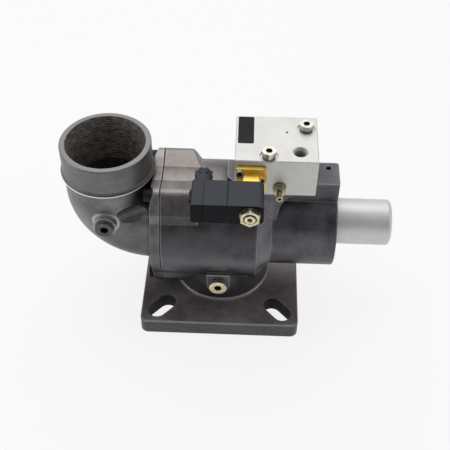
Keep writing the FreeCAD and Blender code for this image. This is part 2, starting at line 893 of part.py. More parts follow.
def m10_nut(start_x):
    nut = hexagon(m10_flats, on_axis(start_x), TO_RIGHT, m10_height)
    return nut.cut(rod(stem_end_r + screw_clearance, on_axis(start_x), TO_RIGHT, m10_height))


def guide_bush():
    start_x = partition_x - guide_boss_length
    length = cylinder_floor_x - stem_seal_height - start_x
    return ring(bush_outer_r, stem_r + running_clearance, on_axis(start_x), TO_RIGHT, length)


def stem_seal():
    start_x = cylinder_floor_x - stem_seal_height
    return ring(stem_seal_outer_r, stem_r + running_clearance, on_axis(start_x), TO_RIGHT,
                stem_seal_height)


def piston():
    """A dished piston with a seal groove and a hollow hub for the spring and nut."""
    outer_r = cylinder_bore_r - 2 * running_clearance
    groove_x = piston_x + (piston_thick - piston_groove_width) / 2
    hole_r = stem_end_r + screw_clearance
    return turned([
        (piston_x, hole_r),
        (piston_x, outer_r),
        (groove_x, outer_r),
        (groove_x, outer_r - piston_groove_depth),
        (groove_x + piston_groove_width, outer_r - piston_groove_depth),
        (groove_x + piston_groove_width, outer_r),
        (piston_end_x, outer_r),
        (piston_end_x, outer_r - piston_groove_depth - piston_skirt_wall),
        (piston_web_x, outer_r - piston_groove_depth - piston_skirt_wall),
        (piston_web_x, piston_hub_r),
        (piston_hub_end_x, piston_hub_r),
        (piston_hub_end_x, piston_hub_bore_r),
        (piston_nut_x, piston_hub_bore_r),
        (piston_nut_x, hole_r),
    ])


def piston_seal():
    groove_x = piston_x + (piston_thick - piston_groove_width) / 2
    outer_r = cylinder_bore_r - running_clearance
    inner_r = cylinder_bore_r - 2 * running_clearance - piston_groove_depth
    return ring(outer_r, inner_r, on_axis(groove_x), TO_RIGHT, piston_groove_width)


def coil_spring(start, direction, length, mean_r, wire_r, turns):
    """A round helix with an eight-sided wire, built along Z and then turned into place."""
    free = length - 2 * wire_r
    path = Part.makeHelix(free / turns, free, mean_r)
    slope = math.atan2(free / turns, 2 * math.pi * mean_r)
    corners = []
    for step in range(9):
        angle = math.radians(45 * step + 22.5)
        across = wire_r * math.cos(angle)
        along = wire_r * math.sin(angle)
        corners.append(Vector(mean_r + across, -along * math.sin(slope), along * math.cos(slope)))
    section = Part.makePolygon(corners)
    spring = Part.Wire(path.Edges).makePipeShell([section], True, True)
    spring.Placement = FreeCAD.Placement(start + direction * wire_r, FreeCAD.Rotation(UP, direction))
    return spring


def return_spring():
    length = cap_floor_x - piston_hub_end_x - 2 * seating_gap
    return coil_spring(on_axis(piston_hub_end_x + seating_gap), TO_RIGHT, length, spring_mean_r,
                       spring_wire_r, spring_turns)


# Cap of the air cylinder

def cylinder_cap():
    flange_r = cylinder_bore_r - seating_gap
    groove_x = cap_flange_x + (cap_flange_thick - cap_groove_width) / 2
    cap = turned([
        (cap_flange_x, cap_bore_r),
        (cap_flange_x, flange_r),
        (groove_x, flange_r),
        (groove_x, flange_r - cap_groove_depth),
        (groove_x + cap_groove_width, flange_r - cap_groove_depth),
        (groove_x + cap_groove_width, flange_r),
        (cap_flange_end_x, flange_r),
        (cap_flange_end_x, cap_r),
        (cap_end_x, cap_r),
        (cap_end_x, 0),
        (cap_floor_x, 0),
        (cap_floor_x, cap_bore_r),
    ])
    least_x = cap_end_x - match_tolerance
    least_y = cap_r - match_tolerance
    far_rim = [edge for edge in cap.Edges
               if edge.BoundBox.XMin > least_x and edge.BoundBox.YMax > least_y]
    return cap.makeFillet(cap_end_round, far_rim)


def cap_seal():
    groove_x = cap_flange_x + (cap_flange_thick - cap_groove_width) / 2
    flange_r = cylinder_bore_r - seating_gap
    return ring(flange_r, flange_r - cap_groove_depth, on_axis(groove_x), TO_RIGHT, cap_groove_width)


def cap_retaining_ring():
    """An open spring ring with two drilled ears, its gap at the bottom."""
    start = on_axis(cap_flange_end_x)
    outer_r = cylinder_bore_r + ring_bite - seating_gap
    inner_r = outer_r - ring_width
    hoop = ring(outer_r, inner_r, start, TO_RIGHT, ring_thick)
    half_gap = math.radians(ring_gap_angle / 2)
    reach = outer_r * 2
    wedge = Part.Face(Part.makePolygon([
        start,
        start + Vector(0, -reach * math.sin(half_gap), -reach * math.cos(half_gap)),
        start + Vector(0, reach * math.sin(half_gap), -reach * math.cos(half_gap)),
        start,
    ])).extrude(TO_RIGHT * ring_thick)
    hoop = hoop.cut(wedge)
    ears = []
    holes = []
    ear_place_r = inner_r
    for side in (-1, 1):
        centre = start + Vector(0, side * ear_place_r * math.sin(half_gap),
                                -ear_place_r * math.cos(half_gap))
        ears.append(rod(ring_ear_r, centre, TO_RIGHT, ring_thick))
        holes.append(rod(ring_ear_hole_r, centre, TO_RIGHT, ring_thick))
    return fused([hoop] + ears).cut(holes)


# Control block and its screws

def slanted_hole(start, end, radius):
    along = end - start
    length = along.Length
    return rod(radius, start, along.normalize(), length)


def manifold_block():
    block = rounded_box(block_left_x, block_front_y, pad_top, block_right_x, block_back_y, block_top_z,
                        block_corner_r, UP)
    block = block.makeChamfer(block_edge_break, edges_at_height(block, block_top_z))
    port_top = Vector(port_x, port_y, block_top_z)
    port_bottom = port_top + DOWN * port_depth
    control = Vector(control_passage_x, 0, pad_top)
    pilot_in = Vector(pilot_x, block_front_y, pilot_z)
    pilot_out = Vector(pilot_x, block_front_y, pilot_z - pilot_return_drop)
    cross_start = Vector(pilot_x, cross_passage_y, pilot_z)
    cross_share = (adjuster_x - pilot_x) / (port_x - pilot_x)
    above_needle = cross_start + (port_bottom - cross_start) * cross_share
    needle_end = Vector(adjuster_x, block_front_y + adjuster_thread_in + adjuster_tip_length, adjuster_z)
    mouth_height = port_mouth_r - g14_r
    adjuster_mouth = Vector(adjuster_x, block_front_y, adjuster_z)
    cutters = [
        rod(g14_r, port_top, DOWN, port_depth),
        Part.makeCone(port_mouth_r, g14_r, mouth_height, port_top, DOWN),
        rod(vent_r, Vector(vent_x, vent_y, block_top_z), DOWN, vent_depth),
        slanted_hole(pilot_in, cross_start + TO_BACK * passage_r, passage_r),
        slanted_hole(cross_start, port_bottom, passage_r),
        slanted_hole(above_needle, needle_end, passage_r),
        slanted_hole(needle_end, control + UP * block_seal_thick, passage_r),
        slanted_hole(pilot_out, control + UP * block_seal_thick, passage_r),
        rod(block_seal_outer_r, control, UP, block_seal_thick),
        rod(adjuster_r + running_clearance, adjuster_mouth, TO_BACK,
            adjuster_thread_in + adjuster_travel + seating_gap),
        rod(adjuster_tip_r + running_clearance, adjuster_mouth, TO_BACK,
            adjuster_thread_in + adjuster_tip_length + 2 * adjuster_travel),
        rod(locknut_recess_r, adjuster_mouth, TO_BACK, locknut_recess_depth),
    ]
    for x, y in (block_screw_a, block_screw_b):
        cutters.append(rod(m8_hole_r, Vector(x, y, block_top_z), DOWN, block_height))
        cutters.append(rod(block_spotface_r, Vector(x, y, block_top_z), DOWN, block_spotface_depth))
    for x, z in (valve_screw_a, valve_screw_b):
        cutters.append(rod(m4_r + screw_clearance, Vector(x, block_front_y, z), TO_BACK,
                           valve_screw_depth))
    return block.cut(cutters)


def block_screws():
    screws = []
    for x, y in (block_screw_a, block_screw_b):
        under_head = Vector(x, y, block_top_z - block_spotface_depth)
        screws.append(socket_screw(under_head, DOWN, m8_r, m8_head_r, m8_head_height,
                                   m8_socket_flats, m8_socket_depth, block_screw_length))
    return group(screws)


def block_seal():
    place = Vector(control_passage_x, 0, pad_top)
    return ring(block_seal_outer_r, block_seal_inner_r, place, UP, block_seal_thick)


# Adjusting screw

def adjusting_screw():
    """A headless needle screw with a socket at its front and a seal groove near its tip."""
    front = Vector(adjuster_x, adjuster_end_y, adjuster_z)
    tip = Vector(adjuster_x, block_front_y + adjuster_thread_in, adjuster_z)
    groove = Vector(adjuster_x, adjuster_seal_y, adjuster_z)
    screw = fused([
        rod(adjuster_r, front, TO_BACK, adjuster_front + adjuster_thread_in),
        rod(adjuster_tip_r, tip, TO_BACK, adjuster_tip_length),
    ])
    screw = screw.cut(ring(adjuster_r, adjuster_seal_groove_r, groove, TO_BACK, adjuster_seal_width))
    return screw.cut(hexagon(adjuster_socket_flats, front, TO_BACK, adjuster_socket_depth))


def adjusting_seal():
    """The ring in the screw's groove, which slides with the screw but doesn't turn."""
    groove = Vector(adjuster_x, adjuster_seal_y + seating_gap, adjuster_z)
    width = adjuster_seal_width - 2 * seating_gap
    inner_r = adjuster_seal_groove_r + running_clearance
    return ring(adjuster_r, inner_r, groove, TO_BACK, width)


def adjusting_locknut():
    seat = Vector(adjuster_x, block_front_y + locknut_recess_depth, adjuster_z)
    start = seat + TO_FRONT * locknut_height
    nut = fused([
        hexagon(locknut_flats, start, TO_BACK, locknut_height - locknut_collar_height),
        rod(locknut_collar_r, seat, TO_FRONT, locknut_collar_height),
    ])
    return nut.cut(rod(adjuster_r + running_clearance, start, TO_BACK, locknut_height))


# Solenoid pilot valve

def on_pilot(y):
    return Vector(pilot_x, y, pilot_z)


def solenoid_body():
    """The brass valve body: a flange, a raised core and one screw boss."""
    flange = rounded_box(valve_left_x, valve_flange_y, valve_bottom_z, valve_right_x, valve_back_y,
                         valve_top_z, valve_corner_r, TO_BACK)
    half_width = valve_core_width / 2
    half_height = valve_core_height / 2
    core = rounded_box(pilot_x - half_width, valve_front_y, pilot_z - half_height,
                       pilot_x + half_width, valve_flange_y, pilot_z + half_height,
                       valve_corner_r, TO_BACK)
    boss_x, boss_z = valve_screw_b
    boss = rod(valve_boss_r, Vector(boss_x, valve_boss_front_y, boss_z), TO_BACK,
               valve_back_y - valve_boss_front_y)
    body = fused([flange, core, boss])
    cavity = rod(valve_cavity_r, on_pilot(valve_front_y), TO_BACK, pilot_seat_y - valve_front_y)
    crown = rod(pilot_crown_r, on_pilot(pilot_seat_y - pilot_crown_height), TO_BACK, pilot_crown_height)
    body = body.cut(cavity.cut(crown))
    outlet = rod(pilot_orifice_r, Vector(pilot_x, pilot_seat_y, pilot_z - pilot_return_drop),
                 TO_BACK, valve_back_y - pilot_seat_y)
    cutters = [
        rod(pilot_orifice_r, on_pilot(pilot_seat_y - pilot_crown_height), TO_BACK,
            valve_back_y - pilot_seat_y + pilot_crown_height),
        outlet,
    ]
    for (x, z), head_y in valve_screw_seats():
        cutters.append(rod(m4_r + screw_clearance, Vector(x, head_y, z), TO_BACK, valve_back_y - head_y))
        cutters.append(rod(m4_head_r + running_clearance, Vector(x, head_y, z), TO_FRONT,
                           head_y - valve_front_y))
    return body.cut(cutters)


def valve_screw_seats():
    """Each small screw's place and the Y where its head sits."""
    return ((valve_screw_a, valve_flange_y), (valve_screw_b, valve_boss_front_y + m4_head_height))


def solenoid_screws():
    screws = []
    for (x, z), head_y in valve_screw_seats():
        length = block_front_y + valve_screw_depth - 1 - head_y
        screws.append(socket_screw(Vector(x, head_y, z), TO_BACK, m4_r, m4_head_r, m4_head_height,
                                   m4_socket_flats, m4_socket_depth, length))
    return group(screws)


def solenoid_gasket():
    gasket = rounded_box(valve_left_x, valve_back_y, valve_bottom_z, valve_right_x, block_front_y,
                         valve_top_z, valve_corner_r, TO_BACK)
    cutters = [
        rod(passage_r, on_pilot(valve_back_y), TO_BACK, valve_gasket_thick),
        rod(passage_r, Vector(pilot_x, valve_back_y, pilot_z - pilot_return_drop), TO_BACK,
            valve_gasket_thick),
    ]
    for x, z in (valve_screw_a, valve_screw_b):
        cutters.append(rod(m4_r + bolt_hole_clearance, Vector(x, valve_back_y, z), TO_BACK,
                           valve_gasket_thick))
    return gasket.cut(cutters)


def armature_tube():
    """The guide tube with its collar in the valve body and its fixed core at the front."""
    collar = ring(tube_collar_r, tube_inner_r, on_pilot(valve_front_y), TO_BACK, tube_collar_height)
    tube = rod(tube_outer_r, on_pilot(tube_end_y), TO_BACK, valve_front_y - tube_end_y)
    tube = tube.cut(rod(tube_inner_r, on_pilot(tube_core_y), TO_BACK, valve_front_y - tube_core_y))
    tube = tube.cut(rod(tube_stud_hole_r, on_pilot(tube_end_y), TO_BACK, tube_stud_hole_depth))
    return fused([tube, collar])


def plunger():
    slug = fused([
        rod(plunger_r, on_pilot(plunger_foot_y - plunger_length), TO_BACK, plunger_length),
        rod(plunger_foot_r, on_pilot(plunger_foot_y - plunger_foot_height), TO_BACK, plunger_foot_height),
    ])
    return slug.cut(rod(plunger_seal_r, on_pilot(plunger_foot_y), TO_FRONT, plunger_seal_thick))


def plunger_seal():
    return rod(plunger_seal_r, on_pilot(plunger_foot_y), TO_FRONT, plunger_seal_thick)


def plunger_spring():
    start = plunger_foot_y - plunger_foot_height - seating_gap
    end = valve_front_y + tube_collar_height + seating_gap
    mean_r = (plunger_r + plunger_foot_r) / 2
    return coil_spring(on_pilot(start), TO_FRONT, start - end, mean_r, plunger_spring_wire_r,
                       plunger_spring_turns)


# Coil, connector and gland

def solenoid_coil():
    coil = rounded_box(coil_left_x, coil_front_y, coil_bottom_z, coil_right_x, coil_back_y, coil_top_z,
                       coil_corner_r, TO_BACK, lambda middle: middle.x > pilot_x)
    bore = rod(tube_outer_r + running_clearance, on_pilot(coil_front_y), TO_BACK, coil_depth)
    screw_hole = rod(connector_screw_r + screw_clearance, connector_screw_tip() + TO_RIGHT, TO_LEFT,
                     connector_screw_length)
    return coil.cut([bore, screw_hole])


def coil_nut():
    """A hexagon nut with a wide flange, holding the coil on its tube."""
    flange = rod(nut_flange_r, on_pilot(coil_front_y - nut_flange_thick), TO_BACK, nut_flange_thick)
    hexagon_part = hexagon(nut_flats, on_pilot(coil_front_y - nut_height), TO_BACK, nut_height, 30)
    bore = rod(tube_outer_r + running_clearance, on_pilot(coil_front_y - nut_height), TO_BACK, nut_height)
    return fused([flange, hexagon_part]).cut(bore)


def connector_screw_z():
    return coil_bottom_z + coil_height / 2


def connector_screw_y():
    return (coil_front_y + coil_back_y) / 2


def connector_screw_tip():
    head_x = connector_left_x
    return Vector(head_x + connector_screw_length, connector_screw_y(), connector_screw_z())


def cable_connector():
    """The plug housing: a stepped lid at its far end and a threaded gland stub at its back."""
    inset = connector_step
    housing = rounded_box(connector_left_x, coil_front_y, coil_bottom_z, connector_right_x, coil_back_y,
                          coil_top_z, connector_corner_r, TO_FRONT,
                          lambda middle: middle.x < gland_x)
    lid_x = connector_left_x + connector_lid_length
    groove = block_between(lid_x, coil_front_y, coil_bottom_z, lid_x + inset / 2, coil_back_y, coil_top_z)
    inner = block_between(lid_x - 1, coil_front_y + inset / 2, coil_bottom_z + inset / 2,
                          lid_x + 2, coil_back_y - inset / 2, coil_top_z - inset / 2)
    housing = housing.cut(groove.cut(inner))
    mouth = Vector(gland_x, coil_back_y, pilot_z)
    stub = rod(gland_thread_r, mouth, TO_BACK, gland_thread_length)
    housing = fused([housing, stub])
    cutters = [
        rod(gland_bore_r, mouth + TO_BACK * gland_thread_length, TO_FRONT, coil_depth / 2),
        rod(connector_screw_r + bolt_hole_clearance, connector_screw_tip(), TO_LEFT,
            connector_screw_length),
    ]
    return housing.cut(cutters)


def connector_gasket():
    """The flat seal between the coil and the connector, its hole fitted to the screw."""
    gasket = rounded_box(connector_right_x, coil_front_y + connector_step, coil_bottom_z + connector_step,
                         coil_left_x, coil_back_y - connector_step, coil_top_z - connector_step,
                         connector_corner_r, TO_RIGHT)
    hole = rod(connector_screw_r + bolt_hole_clearance, connector_screw_tip(), TO_LEFT,
               connector_screw_length)
    return gasket.cut(hole)


def connector_screw():
    """A slotted screw through the connector into the coil."""
    head_face = Vector(connector_left_x - connector_screw_head_height, connector_screw_y(),
                       connector_screw_z())
    screw = fused([
        rod(connector_screw_head_r, head_face, TO_RIGHT, connector_screw_head_height),
        rod(connector_screw_r, connector_screw_tip(), TO_LEFT, connector_screw_length),
    ])
    half_slot = connector_screw_slot / 2
    slot = block_between(head_face.x, head_face.y - connector_screw_head_r, head_face.z - half_slot,
                         head_face.x + connector_screw_head_height / 2,
                         head_face.y + connector_screw_head_r, head_face.z + half_slot)
    return screw.cut(slot)


def gland_nut():
    """A tapered cap nut with grip lugs round its free end."""
    start = Vector(gland_x, coil_back_y + gland_nut_gap, pilot_z)
    end = start + TO_BACK * gland_nut_length
    foot = rod(gland_nut_r, start, TO_BACK, gland_nut_foot)
    taper_length = gland_nut_length - gland_nut_foot
    taper = Part.makeCone(gland_nut_tip_r, gland_nut_r, taper_length, end, TO_FRONT)
    lugs = []
    for step in range(gland_lug_count):
        angle = math.radians(360 * (step + 0.5) / gland_lug_count)
        offset = Vector(gland_lug_place * math.cos(angle), 0, gland_lug_place * math.sin(angle))
        lugs.append(rod(gland_lug_r, end + offset, TO_FRONT, gland_lug_length))
    nut = fused([foot, taper] + lugs)
    stub_room = rod(gland_thread_r + screw_clearance, start, TO_BACK, gland_thread_length)
    bore = rod(gland_bore_r + 1, start, TO_BACK, gland_nut_length)
    return nut.cut([stub_room, bore])


def gland_grommet():
    """The rubber sleeve that grips a lead inside the gland nut."""
    start = Vector(gland_x, coil_back_y + gland_thread_length + seating_gap, pilot_z)
    return ring(gland_bore_r + 1 - screw_clearance, gland_bore_r - 1, start, TO_BACK, grommet_length)


def all_pieces():
    neck_mouth = Vector(neck_boss_x, neck_boss_front_y, neck_boss_z)
    elbow_mouth = Vector(neck_axis_x, elbow_boss_front_y, elbow_boss_z)
    return {
        "valve_body": valve_body(),
        "inlet_elbow": inlet_elbow(),
        "elbow_gasket": elbow_gasket(),
        "elbow_screws": elbow_screws(),
        "elbow_plug": screwed_plug(elbow_mouth),
        "elbow_plug_washer": plug_washer(elbow_mouth),
        "neck_plug": screwed_plug(neck_mouth),
        "neck_plug_washer": plug_washer(neck_mouth),
        "seat_ring": seat_ring(),
        "valve_disc": valve_disc(),
        "disc_seal": disc_seal(),
        "valve_stem": valve_stem(),
        "disc_nut": m10_nut(disc_face_x - m10_height),
        "guide_bush": guide_bush(),
        "stem_seal": stem_seal(),
        "piston": piston(),
        "piston_seal": piston_seal(),
        "piston_nut": m10_nut(piston_nut_x),
        "return_spring": return_spring(),
        "cylinder_cap": cylinder_cap(),
        "cap_seal": cap_seal(),
        "cap_retaining_ring": cap_retaining_ring(),
        "manifold_block": manifold_block(),
        "block_screws": block_screws(),
        "block_seal": block_seal(),
        "adjusting_screw": adjusting_screw(),
        "adjusting_seal": adjusting_seal(),
        "adjusting_locknut": adjusting_locknut(),
        "solenoid_body": solenoid_body(),
        "solenoid_screws": solenoid_screws(),
        "solenoid_gasket": solenoid_gasket(),
        "armature_tube": armature_tube(),
        "plunger": plunger(),
        "plunger_seal": plunger_seal(),
        "plunger_spring": plunger_spring(),
        "solenoid_coil": solenoid_coil(),
        "coil_nut": coil_nut(),
        "cable_connector": cable_connector(),
        "connector_gasket": connector_gasket(),
        "connector_screw": connector_screw(),
        "gland_nut": gland_nut(),
        "gland_grommet": gland_grommet(),
    }


os.makedirs("parts", exist_ok=True)
for node, shape in all_pieces().items():
    shape.exportStep("parts/" + node + ".step")
    print(node, len(shape.Solids), round(shape.Volume, 1), shape.isValid())
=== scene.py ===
import json
import math

import bpy
from mathutils import Matrix, Vector


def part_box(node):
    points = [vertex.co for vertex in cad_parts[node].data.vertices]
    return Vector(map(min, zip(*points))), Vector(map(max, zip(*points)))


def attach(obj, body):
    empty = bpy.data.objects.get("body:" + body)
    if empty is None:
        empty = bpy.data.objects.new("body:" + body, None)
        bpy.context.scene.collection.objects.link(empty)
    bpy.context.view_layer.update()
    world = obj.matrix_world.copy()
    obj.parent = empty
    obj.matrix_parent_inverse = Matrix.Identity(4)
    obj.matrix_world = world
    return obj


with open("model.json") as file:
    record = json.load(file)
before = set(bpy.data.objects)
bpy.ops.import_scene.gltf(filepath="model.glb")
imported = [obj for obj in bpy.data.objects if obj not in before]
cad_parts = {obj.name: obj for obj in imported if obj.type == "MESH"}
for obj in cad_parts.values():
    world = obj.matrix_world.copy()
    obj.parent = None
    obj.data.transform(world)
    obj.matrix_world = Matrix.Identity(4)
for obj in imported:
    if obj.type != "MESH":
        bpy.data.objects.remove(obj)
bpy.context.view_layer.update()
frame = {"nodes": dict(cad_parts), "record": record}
MM = 0.001
X, Y, Z = 0, 1, 2


# Places in millimetres that finishes and added pieces follow: X right, Y back, Z up from the plate's foot.

def middle_mm(piece, first_axis, second_axis):
    """The middle of a CAD piece along two axes, to a tenth of a millimetre."""
    low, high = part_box(piece)
    return tuple(round((low[axis] + high[axis]) / 2 / MM, 1) for axis in (first_axis, second_axis))


def top_mm(piece):
    return round(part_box(piece)[1][Z] / MM, 1)


PLATE_HALF = round(-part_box("valve_body")[0][X] / MM, 1)
PLATE_TOP = 18.0
SLOTS_REACH = PLATE_HALF - 3.5
ELBOW_PLUG = middle_mm("elbow_plug", X, Z)
NECK_PLUG = middle_mm("neck_plug", X, Z)
HOSE_NECK = (ELBOW_PLUG[0], 0.0)
HOSE_NECK_TOP = top_mm("inlet_elbow")
STOP_RING_TOP = 161.4
FLANGE_X = -79.0
SHOULDER_X = 37.0
BLOCK_TOP = top_mm("manifold_block")
FRONT_BLOCK_SCREW = (44.1, -25.6)
REAR_BLOCK_SCREW = (80.1, 15.8)
BLOCK_SCREW_TOP = top_mm("block_screws")
CONTROL_PORT = (74.0, -18.7)
VENT = (61.3, 9.6)
COIL_NUT = middle_mm("coil_nut", X, Z)
PILOT_SCREWS = ((17.4, 192.6), (38.4, 186.3))
ADJUSTING_SCREW = middle_mm("adjusting_screw", X, Z)
BRACKET_HOLE = (105.4, 7.0)


# Camera: solved from the photograph, for a square picture.

def place_camera():
    picture_px = 450
    focal_px = 836.23
    pitch = math.radians(45.87)
    yaw = math.radians(1.76)
    roll = math.radians(0.63)
    eye_mm = Vector((21.83, -618.29, 718.74))
    back = Vector((math.sin(yaw) * math.cos(pitch), -math.cos(yaw) * math.cos(pitch), math.sin(pitch)))
    right = (-back).cross(Vector((0, 0, 1))).normalized()
    up = right.cross(-back)
    right_rolled = right * math.cos(roll) + up * math.sin(roll)
    up_rolled = up * math.cos(roll) - right * math.sin(roll)
    data = bpy.data.cameras.new("photo_camera")
    data.sensor_width = 36.0
    data.lens = focal_px / picture_px * data.sensor_width
    data.clip_start = 0.05
    data.clip_end = 20.0
    camera = bpy.data.objects.new("photo_camera", data)
    bpy.context.scene.collection.objects.link(camera)
    turn = Matrix((right_rolled, up_rolled, back)).transposed().to_4x4()
    camera.matrix_world = Matrix.Translation(eye_mm * MM) @ turn
    bpy.context.scene.camera = camera


# Node helpers.

def connect(tree, value, socket):
    """Links another node's output to a socket, or sets a plain value on it."""
    if isinstance(value, bpy.types.NodeSocket):
        tree.links.new(value, socket)
    else:
        socket.default_value = value


def node(tree, kind, inputs=None, **settings):
    made = tree.nodes.new(kind)
    for name, value in settings.items():
        setattr(made, name, value)
    for name, value in (inputs or {}).items():
        connect(tree, value, made.inputs[name])
    return made


def maths(tree, operation, first, second=0.0, clamp=False):
    made = node(tree, "ShaderNodeMath", operation=operation, use_clamp=clamp)
    connect(tree, first, made.inputs[0])
    connect(tree, second, made.inputs[1])
    return made.outputs[0]


def product(tree, *values):
    """All the values multiplied: masks that hold together, or a mask and its strength."""
    result = values[0]
    for value in values[1:]:
        result = maths(tree, "MULTIPLY", result, value)
    return result


def inverse(tree, mask):
    return maths(tree, "SUBTRACT", 1.0, mask)


def weighted(tree, share, first, second):
    """A share of the first value and the rest of the second."""
    return maths(tree, "ADD", product(tree, first, share), product(tree, second, 1.0 - share))


def noise(tree, where, scale, detail=3.0, roughness=0.55):
    inputs = {"Vector": where, "Scale": scale, "Detail": detail, "Roughness": roughness}
    return node(tree, "ShaderNodeTexNoise", inputs).outputs["Fac"]


def ranged(tree, value, low, high, to_low, to_high):
    inputs = {"Value": value, "From Min": low, "From Max": high, "To Min": to_low, "To Max": to_high}
    return node(tree, "ShaderNodeMapRange", inputs).outputs["Result"]


def contrast(tree, value, half_width, to_low=0.0, to_high=1.0):
    """Stretches the middle of a noise, from 0.5 - half_width to 0.5 + half_width."""
    return ranged(tree, value, 0.5 - half_width, 0.5 + half_width, to_low, to_high)


def blended(tree, factor, first, second):
    made = node(tree, "ShaderNodeMix", data_type="RGBA")
    for slot, value in ((0, factor), (6, first), (7, second)):
        connect(tree, value, made.inputs[slot])
    return made.outputs[2]


def colour(red, green, blue):
    return (red, green, blue, 1.0)


def stretched(tree, where, x, y, z):
    return node(tree, "ShaderNodeMapping", {"Vector": where, "Scale": (x, y, z)}).outputs["Vector"]


def split(tree, where):
    parts = node(tree, "ShaderNodeSeparateXYZ", {"Vector": where})
    return parts.outputs["X"], parts.outputs["Y"], parts.outputs["Z"]


def radius_from(tree, first, second, centre_mm):
    a = maths(tree, "SUBTRACT", first, centre_mm[0] * MM)
    b = maths(tree, "SUBTRACT", second, centre_mm[1] * MM)
    return maths(tree, "SQRT", maths(tree, "ADD", product(tree, a, a), product(tree, b, b)))


def above(tree, value, edge_mm, soft_mm=0.2):
    return ranged(tree, value, (edge_mm - soft_mm) * MM, (edge_mm + soft_mm) * MM, 0.0, 1.0)


def below(tree, value, edge_mm, soft_mm=0.2):
    return ranged(tree, value, (edge_mm - soft_mm) * MM, (edge_mm + soft_mm) * MM, 1.0, 0.0)


def within(tree, value, low_mm, high_mm, soft_mm=0.2):
    past_high = above(tree, value, high_mm, soft_mm)
    return product(tree, above(tree, value, low_mm, soft_mm), inverse(tree, past_high))


# Shader node groups, each built once and placed in the materials that use it.

def new_group(name, inputs, outputs):
    group = bpy.data.node_groups.new(name, "ShaderNodeTree")
    for title, kind, value in inputs:
        made = group.interface.new_socket(title, in_out="INPUT", socket_type=kind)
        if value is not None:
            made.default_value = value
    for title in outputs:
        group.interface.new_socket(title, in_out="OUTPUT", socket_type="NodeSocketFloat")
    return group, group.nodes.new("NodeGroupInput"), group.nodes.new("NodeGroupOutput")


def skin_group():
    """Mottling, grain, speckle and height of a cast or moulded skin, with its sizes in millimetres."""
    group, given, out = new_group(
        "cast_skin",
        [("Vector", "NodeSocketVector", None), ("Grain size", "NodeSocketFloat", 1.0),
         ("Blotch size", "NodeSocketFloat", 30.0)],
        ["Blotch", "Grain", "Speckle", "Height"])
    where = given.outputs["Vector"]
    grain_scale = maths(group, "DIVIDE", 1.0 / MM, given.outputs["Grain size"])
    blotch_scale = maths(group, "DIVIDE", 1.0 / MM, given.outputs["Blotch size"])
    grain = noise(group, where, grain_scale, 4.0, 0.65)
    pits = node(group, "ShaderNodeTexVoronoi", {"Vector": where, "Scale": grain_scale}).outputs["Distance"]
    group.links.new(noise(group, where, blotch_scale, 4.0, 0.6), out.inputs["Blotch"])
    group.links.new(grain, out.inputs["Grain"])
    group.links.new(noise(group, where, 900.0, 2.0, 0.7), out.inputs["Speckle"])
    group.links.new(weighted(group, 0.7, grain, pits), out.inputs["Height"])
    return group


def lit_top_group():
    """A mask of the faces that point up, where a lighter colour is painted light from above."""
    group, given, out = new_group(
        "upward_light",
        [("Normal", "NodeSocketVector", None), ("Start", "NodeSocketFloat", 0.35),
         ("Full", "NodeSocketFloat", 0.9)],
        ["Mask"])
    parts = node(group, "ShaderNodeSeparateXYZ", {"Vector": given.outputs["Normal"]})
    mask = ranged(group, parts.outputs["Z"], given.outputs["Start"], given.outputs["Full"], 0.0, 1.0)
    group.links.new(mask, out.inputs["Mask"])
    return group


def round_patch_group():
    """A mask that is 1 inside a circle about an axis, with its place, radius and soft edge in millimetres."""
    group, given, out = new_group(
        "round_patch",
        [("First", "NodeSocketFloat", 0.0), ("Second", "NodeSocketFloat", 0.0),
         ("First centre", "NodeSocketFloat", 0.0), ("Second centre", "NodeSocketFloat", 0.0),
         ("Radius", "NodeSocketFloat", 5.0), ("Soft edge", "NodeSocketFloat", 0.2)],
        ["Mask"])
    squares = []
    for side in ("First", "Second"):
        place = product(group, given.outputs[side], 1.0 / MM)
        off = maths(group, "SUBTRACT", place, given.outputs[side + " centre"])
        squares.append(product(group, off, off))
    radius = maths(group, "SQRT", maths(group, "ADD", squares[0], squares[1]))
    inner = maths(group, "SUBTRACT", given.outputs["Radius"], given.outputs["Soft edge"])
    outer = maths(group, "ADD", given.outputs["Radius"], given.outputs["Soft edge"])
    group.links.new(ranged(group, radius, inner, outer, 1.0, 0.0), out.inputs["Mask"])
    return group


def crease_group():
    """A mask that rises to 1 in inner corners, for painted shade there. Its reach is in millimetres."""
    group, given, out = new_group("crease_shade", [("Reach", "NodeSocketFloat", 7.0)], ["Mask"])
    reach = product(group, given.outputs["Reach"], MM)
    open_share = node(group, "ShaderNodeAmbientOcclusion", {"Distance": reach}, samples=6, only_local=True)
    group.links.new(ranged(group, open_share.outputs["AO"], 0.45, 0.85, 1.0, 0.0), out.inputs["Mask"])
    return group


def edge_light_group():
    """A mask of edges, for painted highlights there. Its width is in millimetres."""
    group, given, out = new_group("edge_highlight", [("Width", "NodeSocketFloat", 1.0)], ["Mask"])
    width = product(group, given.outputs["Width"], MM)
    rounded = node(group, "ShaderNodeBevel", {"Radius": width}, samples=6)
    plain = node(group, "ShaderNodeNewGeometry")
    agreement = node(group, "ShaderNodeVectorMath", operation="DOT_PRODUCT")
    group.links.new(rounded.outputs["Normal"], agreement.inputs[0])
    group.links.new(plain.outputs["Normal"], agreement.inputs[1])
    group.links.new(ranged(group, agreement.outputs["Value"], 0.90, 0.997, 1.0, 0.0), out.inputs["Mask"])
    return group


